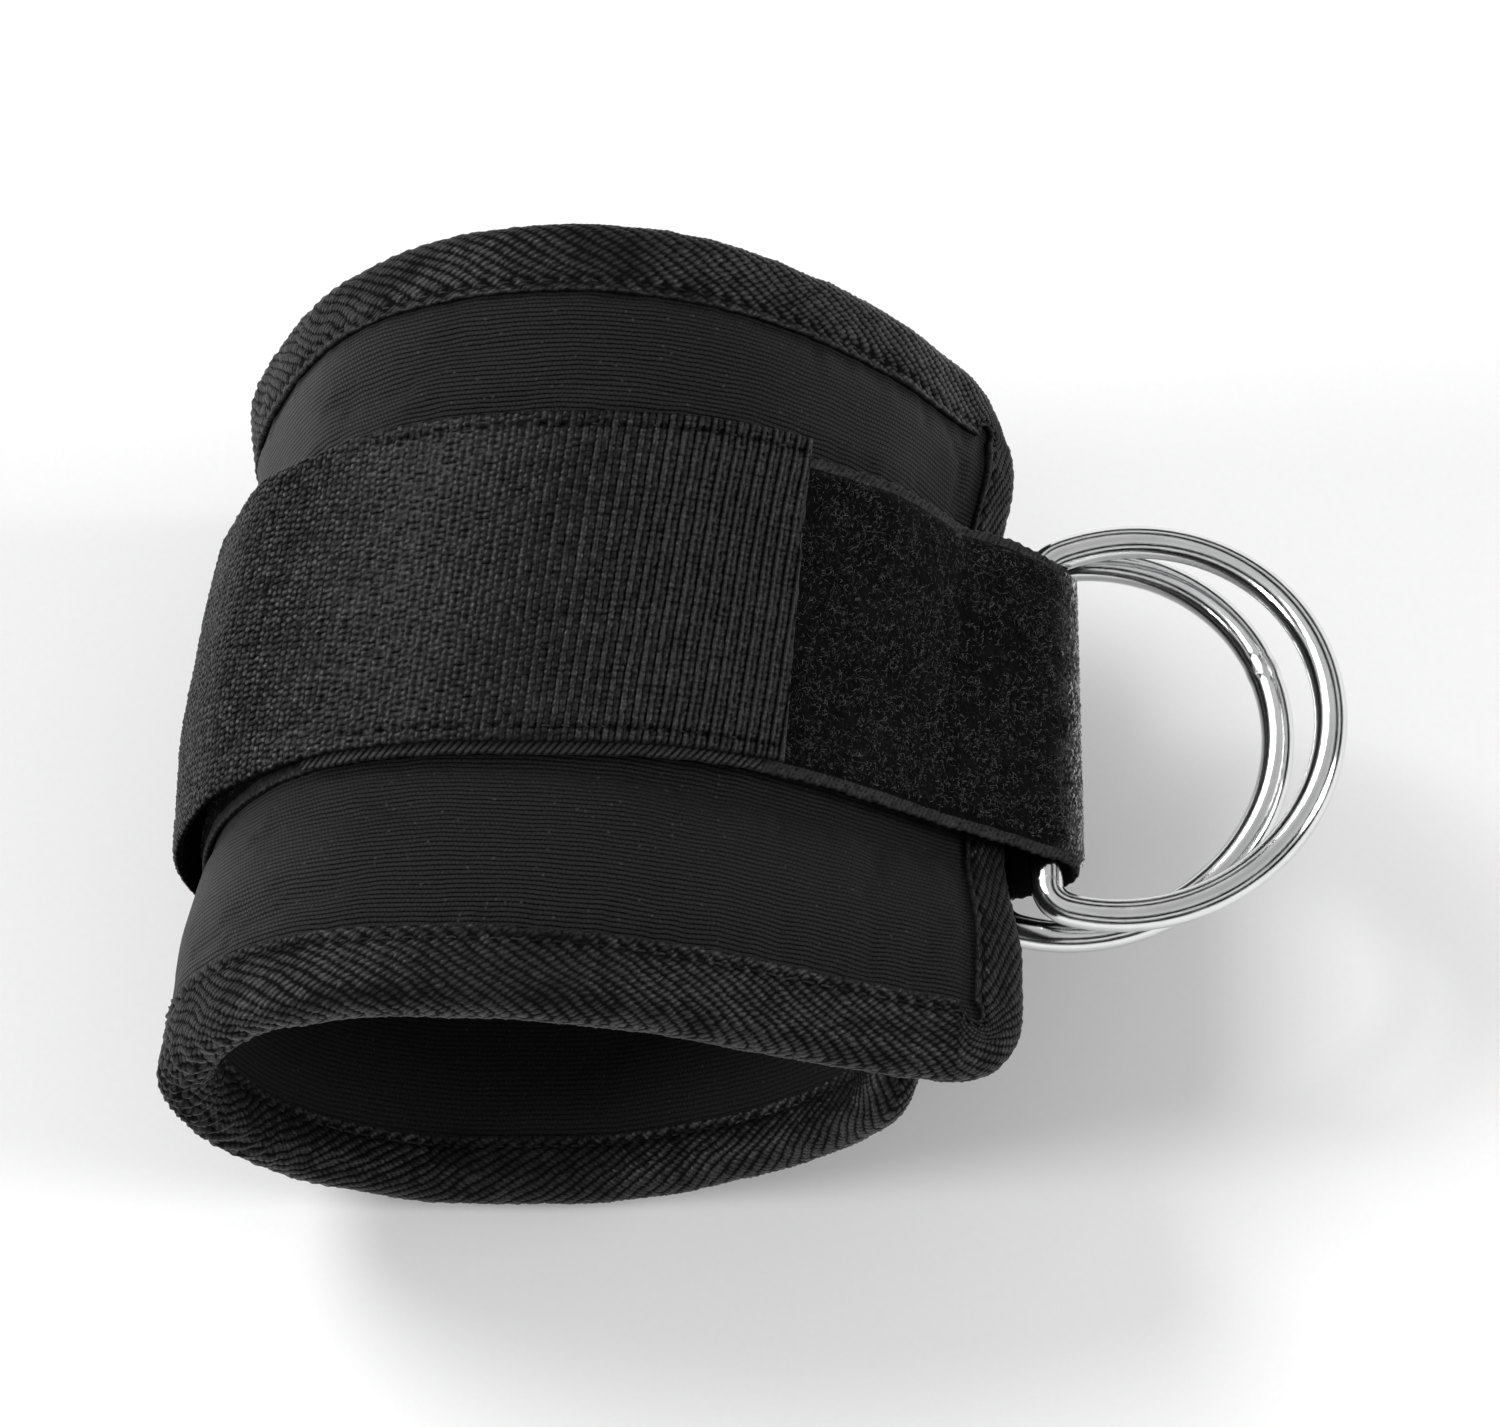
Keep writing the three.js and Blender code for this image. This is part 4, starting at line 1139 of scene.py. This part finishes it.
def loop_fibres():
    """Short curled fibre ends standing on the pile."""
    rng = np.random.default_rng(77)
    # run from, to, fibres per square mm
    spans = [(1, 20, 0.4), (20, 128, 1.9), (128, 208, 4.6), (208, LOOP_LEN - 2, 0.3)]
    runs, ys = [], []
    for start, end, density in spans:
        count = int((end - start) * (LOOP_Y[1] - LOOP_Y[0] - 4.6) * density)
        runs.append(rng.uniform(start, end, count))
        ys.append(rng.uniform(LOOP_Y[0] + 2.2, LOOP_Y[1] - 2.2, count))
    run, y = np.concatenate(runs), np.concatenate(ys)
    # clumps and gaps
    keep = (vnoise(run / 1.9, y / 1.7, 31)
            > rng.uniform(-1.1, 0.5, len(run)) + 0.8 * crease_ground_and_rim_light(run))
    # extra pale fibres packed in the crease, part of the painted rim light
    in_crease = 950
    run = np.concatenate([run[keep], CREASE + rng.normal(0, 1.25, in_crease)])
    y = np.concatenate([y[keep], rng.uniform(LOOP_Y[0] + 1.6, LOOP_Y[1] - 1.6, in_crease)])
    count = len(run)
    crease = np.arange(count) >= count - in_crease
    angle = np.where(crease, rng.normal(math.pi / 2, 0.22, count),
                     rng.uniform(0, 2 * math.pi, count))
    length = rng.uniform(0.40, 0.95, count)
    curl = rng.uniform(-2.8, 2.8, count) * np.where(crease, 0.15, 1.0)
    t = np.linspace(-0.5, 0.5, 6)
    heading = angle[:, None] + curl[:, None] * t[None]
    step = length[:, None] / 5
    height = (LOOP_T / 2 + 0.02
              + rng.uniform(0.10, 0.30, count)[:, None] * (1 - (2 * t[None]) ** 2))
    path, normal = loop_point(run[:, None] + np.cumsum(np.cos(heading) * step, 1),
                              y[:, None] + np.cumsum(np.sin(heading) * step, 1), height)
    _, side = hair_frame(path, normal)
    radius = rng.uniform(0.032, 0.056, count) * np.where(crease, 1.7, 1.0)
    radius = radius[:, None, None] * np.array([0.55, 0.9, 1, 1, 0.9, 0.55])[None, :, None]
    return batch("loop_pile_fibres", rings_round(path, side * radius, normal * radius, sides=4),
                 {"fab": fabric(run, y, 60), "tone": rng.random(count),
                  "fold": np.where(crease, 1.0, 0.4 * crease_ground_and_rim_light(run))}, FIBRE)


loop = loop_strap()
fibres = loop_fibres()


# ---------------------------------------------------------------- webbing
def web_base(wrap, y):
    """Height of the webbing's underside, without lift."""
    on_end = rise(246, 251.5, wrap)
    on_loop = fall(181, 187, wrap)
    leaving = rise(118, 134, wrap)
    bulge = ((2.0 + 1.7 * rise(-24, -2, y)) * leaving * fall(150, 178, wrap)
             + 0.8 * leaving * on_loop)
    hook = (TAIL_BASE - OVER_LOOP) * fall(HINGE, 130, wrap)
    return STRAP_BASE + (OVER_LOOP - STRAP_BASE) * np.maximum(on_end, on_loop) + bulge + hook


def weave(wrap, y, at_end):
    """Relief, 0 to 1.2: split ribs across the strap, beaded along them. at_end is 1 near the
    tail's end, where the grooves are deep."""
    wrap = wrap + 0.12 * vnoise(wrap / 9, y / 13, 41) + 0.05 * vnoise(wrap / 3, y / 4, 43)
    y = y + 0.10 * vnoise(wrap / 8, y / 7, 42)
    column = wrap / RIB_PITCH
    rib_id = np.floor(column)
    part = column - rib_id
    groove = rib(part, 0.34)
    groove = lerp(0.52 + 0.48 * groove, groove, at_end)
    slot = bell(part, 0.5, 0.06)             # shallow split down the middle of each rib
    row = (y / 1.06 + 0.5 * np.mod(rib_id, 2) * (1 - at_end)
           + 0.10 * vnoise(rib_id * 0.7, y / 3, 47))
    bead = rib(row, 0.26)
    staggered = rib(row + 0.5 * np.where(part > 0.5, 1, 0) * (1 - at_end), 0.34)
    uneven = (1 + 0.06 * vnoise(rib_id * 0.37, y / 2.2, 44)
              + 0.26 * vnoise(wrap / 0.42, y / 0.42, 48))
    cell = lerp(0.24 + 0.76 * staggered, 0.62 + 0.38 * bead, at_end)
    alternate = np.where(np.mod(rib_id, 2) > 0.5, 1.0, lerp(1.0, 0.88, at_end))
    # crest: a thin bright ridge on each rib near the end, raised in the relief and, through rel, a
    # painted highlight
    crest = at_end * bell(part, 0.80, 0.09) * (0.35 + 0.65 * bead)
    return np.clip(groove * cell * (1 - lerp(0.36, 0.50, at_end) * slot) * uneven
                   * lerp(alternate * 0.88, 0.72, at_end) + 0.42 * crest, 0, 1.2)


def tail_end(y):
    """Wrap of the slanted tail end."""
    return lerp(TAIL_NEAR, TAIL_FAR, (y - WEB_Y[0]) / (WEB_Y[1] - WEB_Y[0]))


def split_end(y):
    return WEB_SPLIT + 0 * y


def web_piece(name, start, end, y_step, wrap_step):
    """Webbing from wrap = start to end(y)."""
    y, side = strap_profile(WEB_Y, WEB_T / 2, y_step)
    count = int((start - end(0)) / wrap_step)
    wrap = lerp(start, end(np.clip(y, *WEB_Y))[None], np.linspace(0, 1, count)[:, None])
    edge = from_edge(y, WEB_Y)
    hand = np.sign(y - WEB_MID)
    at_end = fall(66, 98, wrap)
    relief = weave(wrap, y, at_end)
    up = relief * (0.46 + 0.20 * rise(98, 124, wrap)) - 0.33
    # sewn dimple lines along both edges of the tail, painted darker through rel as well (painted
    # shade)
    sewn = (bell(edge, TAIL_SEAM, 0.45) * fall(108, 112, wrap)
            * (0.35 + 0.65 * np.cos(math.pi * wrap / 2.6) ** 2))
    up = up - 0.30 * sewn + 0.10 * vnoise(wrap / 14, y / 9, 45)
    relief = relief * (1 - 0.35 * np.clip(sewn, 0, 1))
    down = weave(wrap + 0.46, y + 0.5, at_end) * 0.22 - 0.16
    half = WEB_T / 2
    height = np.where(side >= 0, side * (half + up - fall(0, 1.6, edge) * 0.18),
                      side * (half + down))
    scallop = 0.16 * rib(wrap / RIB_PITCH) + 0.10 * vnoise(wrap / 2.7, hand, 46)
    edge_y = y + hand * (scallop - 0.1) * np.exp(-edge / 0.7)
    # waves where it stands off the pad at the left
    waves = (rise(120, 140, wrap) * fall(168, 182, wrap) * 0.35
             * np.sin(edge_y / 9.0 + 0.6))
    points = strap_points(wrap, edge_y, web_base(wrap, y) + half + height + waves, wrap, y)
    return tube(name, points, {"fab": fabric(wrap, edge_y, np.where(side > 0, 0, 30)),
                               "rel": np.where(side > 0, np.clip(relief, 0, 1), 0.35)},
                [WEBBING], rows=2)


def tail_cut_edge():
    """Uneven thin lip along the tail's cut edge."""
    y = np.linspace(WEB_Y[0] + 0.1, WEB_Y[1] - 0.1, 260)[:, None]
    wrap = tail_end(y) + 0.05 + 0.10 * vnoise(y / 2.5, 0.3, 51)
    out = TAIL_BASE + WEB_T * 0.50 + 0.10 * vnoise(y / 1.7, 0.8, 52)
    angle = np.linspace(0, 2 * math.pi, 10, endpoint=False)[None]
    radius = 0.36 * (1 + 0.18 * vnoise(y / 1.2, 0.1, 53))
    points = strap_points(wrap + radius * 0.7 * np.cos(angle), y,
                          out + radius * 1.25 * np.sin(angle), wrap, y)
    return tube("tail_cut_edge", points, {"fab": fabric(wrap * 3 + angle, y, 90),
                                          "rel": np.full(points.shape[:2], 0.9)}, [WEBBING])


def hook_tape():
    y, side = strap_profile(HOOK_Y, HOOK_T / 2, 0.4)
    wrap = lerp(HINGE - 2.5, tail_end(np.clip(y, *WEB_Y))[None] + 2.5,
                np.linspace(0, 1, 260)[:, None])
    edge = from_edge(y, HOOK_Y)
    hand = np.sign(y)
    waver = (0.35 * wave(wrap, 8.3) + 0.45 * vnoise(wrap / 3.4, hand, 61)) * np.exp(-edge / 1.2)
    relief = rib(wrap / 1.1 + y / 1.6, 0.8)
    height = np.where(side >= 0, side * (HOOK_T / 2 + 0.12 * relief - 0.10), side * HOOK_T / 2)
    edge_y = y - hand * np.abs(waver) * 0.5 + hand * 0.1
    dip = -0.15 * np.exp(-edge / 1.0) * (0.5 + 0.5 * wave(wrap, 6.1))
    points = strap_points(wrap, edge_y, OVER_LOOP + HOOK_T / 2 + height + dip, wrap, y)
    return tube("hook_tape", points, {"fab": fabric(wrap, edge_y, np.where(side > 0, 0, 30)),
                                      "rel": relief}, [HOOK])


def hook_rows():
    """Staggered rows of small bent hooks under the tail."""
    pitch = 1.15
    wrap, y = np.meshgrid(np.arange(55, 113, pitch),
                          np.arange(HOOK_Y[0] + 2.5, HOOK_Y[1] - 2.4, 1.05), indexing="ij")
    y = (y + 0.5 * (np.round(wrap / pitch) % 2)).reshape(-1, 1)
    wrap = wrap.reshape(-1, 1)
    t = np.linspace(0, 1, 5)[None]
    out = OVER_LOOP - 0.02 - 0.20 * np.sin(t * math.pi * 0.8)
    path = strap_points(wrap + 0.32 * t ** 1.5, y, out, wrap, y)
    tangent, side = hair_frame(path, outward(wrap, y))
    radius = 0.06
    rings = rings_round(path, side * radius, np.cross(side, tangent) * radius, sides=3)
    return batch("hook_field", rings, {"fab": fabric(wrap[:, 0], y[:, 0]),
                                       "rel": np.full(len(wrap), 0.8)}, HOOK)


def box_stitch(name, wraps, ys, out, seed, on_tail=False):
    """Rectangle of stitches; out gives their height at (wrap, y)."""
    pitch = 2.6
    (w0, w1), (y0, y1) = wraps, ys
    outline = np.array([(w0, y0), (w1, y0), (w1, y1), (w0, y1), (w0, y0)])
    places, ways = [], []
    for start, end in zip(outline[:-1], outline[1:]):
        length = math.hypot(*(end - start))
        count = int(round(length / pitch))
        t = (np.arange(count)[:, None] + 0.5) / count
        places.append(lerp(start, end, t))
        ways.append(np.tile((end - start) / length, (count, 1)))
    wrap, y = np.vstack(places).T
    centre, up, along = stitch_frame(wrap, y, out(wrap, y), *np.vstack(ways).T)
    if on_tail:
        centre[:, 1] += drift(wrap)
    return stitches(name, centre, up, along, length=pitch * 0.74, width=0.40, seed=seed)


tail = web_piece("tail_webbing", WEB_SPLIT, tail_end, y_step=0.205, wrap_step=0.19)
free = web_piece("free_webbing", WEB_END, split_end, y_step=0.35, wrap_step=0.31)
cut_edge = tail_cut_edge()
hook = hook_tape()
hook_field = hook_rows()
tail_box = box_stitch("tail_box_stitch", (54, 112), (WEB_Y[0] + TAIL_SEAM, WEB_Y[1] - TAIL_SEAM),
                      lambda wrap, y: TAIL_BASE + WEB_T - 0.34 + lift(wrap, y), seed=7,
                      on_tail=True)
joint_box = box_stitch("joint_box_stitch", (256, 273), (WEB_Y[0] + 3, WEB_Y[1] - 5),
                       lambda wrap, y: web_base(wrap, y) + WEB_T - 0.05, seed=8)
end_box = box_stitch("strap_end_box_stitch", (168, 178), (LOOP_Y[0] + 3, LOOP_Y[1] - 3),
                     lambda wrap, y: STRAP_BASE + LOOP_T, seed=9)


# ---------------------------------------------------------------- D-rings
def d_ring(name, bar, tilt, weld_angle):
    """Straight bar along y, two tight corners and a round bow. Flat shape first, bar at x = 0."""
    half = math.sqrt(BOW_R ** 2 - BOW_CENTRE ** 2)
    bar_end = half - 3.4
    cut = math.radians(math.degrees(math.atan2(half, -BOW_CENTRE)) - 7.5)
    start = np.array([0.0, bar_end])
    end = np.array([BOW_CENTRE + BOW_R * math.cos(cut), BOW_R * math.sin(cut)])
    handle = 3.0
    leave = start + np.array([0, handle * 0.9])
    arrive = end - np.array([math.sin(cut), -math.cos(cut)]) * handle * 0.75
    t = np.linspace(0, 1, 26)[1:-1, None]
    corner = (start * (1 - t) ** 3 + 3 * leave * t * (1 - t) ** 2
              + 3 * arrive * t ** 2 * (1 - t) + end * t ** 3)
    straight = np.stack([np.zeros(60), np.linspace(-bar_end, bar_end, 60)], 1)
    turn = np.linspace(cut, -cut, 260)
    bow = np.stack([BOW_CENTRE + BOW_R * np.cos(turn), BOW_R * np.sin(turn)], 1)
    outline = np.vstack([straight, corner, bow, (corner * [1, -1])[::-1], straight[:1]])
    known = arc_length(outline)
    run = np.linspace(0, known[-1], 421)[:-1]
    path = columns_at(run, known, outline)
    tangent = np.roll(path, -1, 0) - np.roll(path, 1, 0)
    tangent /= np.linalg.norm(tangent, axis=1)[:, None]
    run = run[:, None]
    path_x, path_y = path[:, :1], path[:, 1:]
    # weld bead with a groove on both sides
    at = np.degrees(np.arctan2(path_y, path_x - BOW_CENTRE))
    from_weld = (at - weld_angle) * math.pi / 180 * BOW_R
    on_bow = path_x > BOW_CENTRE - 5
    weld = np.where(on_bow, bell(from_weld, 0, 1.1), 0)
    groove = np.where(on_bow, bell(np.abs(from_weld), 2.0, 0.5), 0)
    angle = np.linspace(0, 2 * math.pi, 40, endpoint=False)[None]
    radius = (WIRE_R * (1 + 0.0018 * np.sin(run / 5.0))
              + 0.045 * weld * (1 + 0.4 * vnoise(run / 0.7, angle * 2, 71)) - 0.05 * groove)
    sideways, off_plane = radius * np.cos(angle), radius * np.sin(angle)
    x = path_x - tangent[:, 1:] * sideways
    y = path_y + tangent[:, :1] * sideways
    cos, sin = math.cos(math.radians(tilt)), math.sin(math.radians(tilt))
    points = np.stack([bar[0] + x * cos - off_plane * sin, RING_Y + y,
                       AXIS_Z + bar[1] + x * sin + off_plane * cos], -1)
    return tube(name, points, {"ring": fabric(run, angle * WIRE_R, weld)}, [METAL],
                closed=True, rows=3)


outer_ring = d_ring("ring_outer", OUTER_BAR, OUTER_TILT, weld_angle=200)
inner_ring = d_ring("ring_inner", INNER_BAR, INNER_TILT, weld_angle=20)

# ---------------------------------------------------------------- nodes, slots and motion
# object, the node it replaces, material slot
REPLACED = (
    (face, "face_fabric", "face_knit"), (lining, "lining_fabric", "lining_knit"),
    (foam, "foam_core", "foam"), (binding, "edge_binding", "binding_twill"),
    (outer_thread, "binding_thread_outer", "sewing_thread"),
    (inner_thread, "binding_thread_inner", "sewing_thread"),
    (loop, "loop_strap", "loop_pile"), (free, "free_webbing", "webbing"),
    (tail, "tail_webbing", "webbing"), (hook, "hook_tape", "hook"),
    (tail_box, "tail_box_stitch", "sewing_thread"),
    (joint_box, "joint_box_stitch", "sewing_thread"),
    (end_box, "strap_end_box_stitch", "sewing_thread"),
    (outer_ring, "ring_outer", "ring_metal"), (inner_ring, "ring_inner", "ring_metal"))
for ob, node, slot in REPLACED:
    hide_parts(node)
for ob in (face, lining, foam, binding, outer_thread, inner_thread, loop, fibres, free,
           joint_box, end_box):
    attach(ob, "root")
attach(outer_ring, "outer_ring")
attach(inner_ring, "inner_ring")
# two places on the tail where it bends away from the pad; they are worked out here and not used
# further
blend_start, blend_end = (tuple(to_frame(surface(wrap, WEB_MID, TAIL_BASE)))
                          for wrap in (132.0, 104.0))
for ob in (tail, hook, hook_field, tail_box, cut_edge):
    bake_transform(ob)

# ---------------------------------------------------------------- camera
TO_AXIS = np.array([-0.00832317, 0.40541954, -0.91409284])    # from the camera to the axis point
SIGHT_RIGHT = np.array([0.99996039, 0.00625589, -0.00633041])
DISTANCE = 1000.29                           # mm
TURN_RIGHT, TURN_UP = 0.0265042289, 0.0018761387      # aim off that point, as tangents
LENS, SENSOR = 159.13536, 36.0               # mm


def add_camera():
    forward = (TO_AXIS + SIGHT_RIGHT * TURN_RIGHT
               + np.cross(SIGHT_RIGHT, TO_AXIS) * TURN_UP)
    forward /= np.linalg.norm(forward)
    right = SIGHT_RIGHT - forward * (SIGHT_RIGHT @ forward)
    right /= np.linalg.norm(right)
    camera = bpy.data.objects.new("camera", bpy.data.cameras.new("camera"))
    camera.data.sensor_width = SENSOR
    camera.data.lens = LENS
    camera.data.clip_start = 0.01
    camera.data.clip_end = 50
    place = np.eye(4)
    place[:3, :3] = np.stack([right, np.cross(right, forward), -forward], 1)
    place[:3, 3] = (-DISTANCE * TO_AXIS + np.array([AXIS_X, AXIS_Y, AXIS_Z])) * 0.001
    camera.matrix_world = Matrix(place.tolist())
    bpy.context.scene.collection.objects.link(camera)
    bpy.context.scene.camera = camera


# ---------------------------------------------------------------- floor, lights, surroundings
def add_floor():
    material = new_material("floor")
    place = Value(add_node(material.node_tree, "TexCoord", {}), "Object")
    color = mix(noise(place, scale=900.0), grey(0.93), grey(0.96))
    finish(material, color, 0.9, specular=0.1)
    half = 6
    mesh = bpy.data.meshes.new("floor")
    mesh.from_pydata([(-half, -half, 0), (half, -half, 0), (half, half, 0), (-half, half, 0)],
                     [], [(0, 1, 2, 3)])
    mesh.materials.append(material)
    floor = bpy.data.objects.new("floor", mesh)
    floor.location = (0, 0, -0.0001)         # just clear of the cuff
    bpy.context.scene.collection.objects.link(floor)


def add_sun(name, towards, power, angle):
    """Sun standing in the direction towards; angle is its size in radians."""
    light = bpy.data.lights.new(name, "SUN")
    light.energy = power
    light.angle = angle
    ob = bpy.data.objects.new(name, light)
    z = np.array(towards, float) / np.linalg.norm(towards)
    x = np.cross([0, 1, 0.01], z)
    x /= np.linalg.norm(x)
    place = np.eye(4)
    place[:3, :3] = np.stack([x, np.cross(z, x), z], 1)
    ob.matrix_world = Matrix(place.tolist())
    bpy.context.scene.collection.objects.link(ob)


# Brightness by height of the direction: 0 level and below, 1 straight up.
SKY_ENDS = ((0.0, (0.5, 0.5, 0.51, 1)), (1.0, grey(1.0)))
SKY_BANDS = ((0.10, 0.30), (0.15, 0.015), (0.36, 0.015), (0.40, 1.6), (0.58, 1.6), (0.61, 0.03),
             (0.79, 0.03), (0.82, 1.5))


def add_world():
    """Banded sky for light and reflections; the camera itself sees a plain pale backdrop."""
    world = bpy.data.worlds.new("studio")
    bpy.context.scene.world = world
    world.use_nodes = True
    tree = world.node_tree
    direction = Value(add_node(tree, "TexCoord", {}), "Generated")
    bands = add_node(tree, "ValToRGB", {0: split(direction)[2]})
    stops = bands.color_ramp.elements
    for stop, (position, color) in zip(stops, SKY_ENDS):
        stop.position = position
        stop.color = color
    for position, level in SKY_BANDS:
        stops.new(position).color = grey(level)
    sky = tree.nodes["Background"]
    feed(sky, {0: Value(bands), 1: 0.5})
    pale = add_node(tree, "Background", {0: (0.93, 0.93, 0.935, 1)})
    seen = Value(add_node(tree, "LightPath", {}), "Is Camera Ray")
    both = add_node(tree, "MixShader", {0: seen, 1: Value(sky), 2: Value(pale)})
    feed(tree.nodes["World Output"], {"Surface": Value(both)})


add_camera()
add_floor()
add_sun("key", towards=(-0.74, 0.55, 0.95), power=1.7, angle=0.45)
add_sun("side", towards=(1.0, -0.10, 0.60), power=1.3, angle=0.45)
add_sun("low_left", towards=(-1.0, -0.20, 0.45), power=1.6, angle=0.28)
add_world()
bpy.context.scene.view_settings.view_transform = "Standard"
bpy.context.scene.view_settings.look = "None"
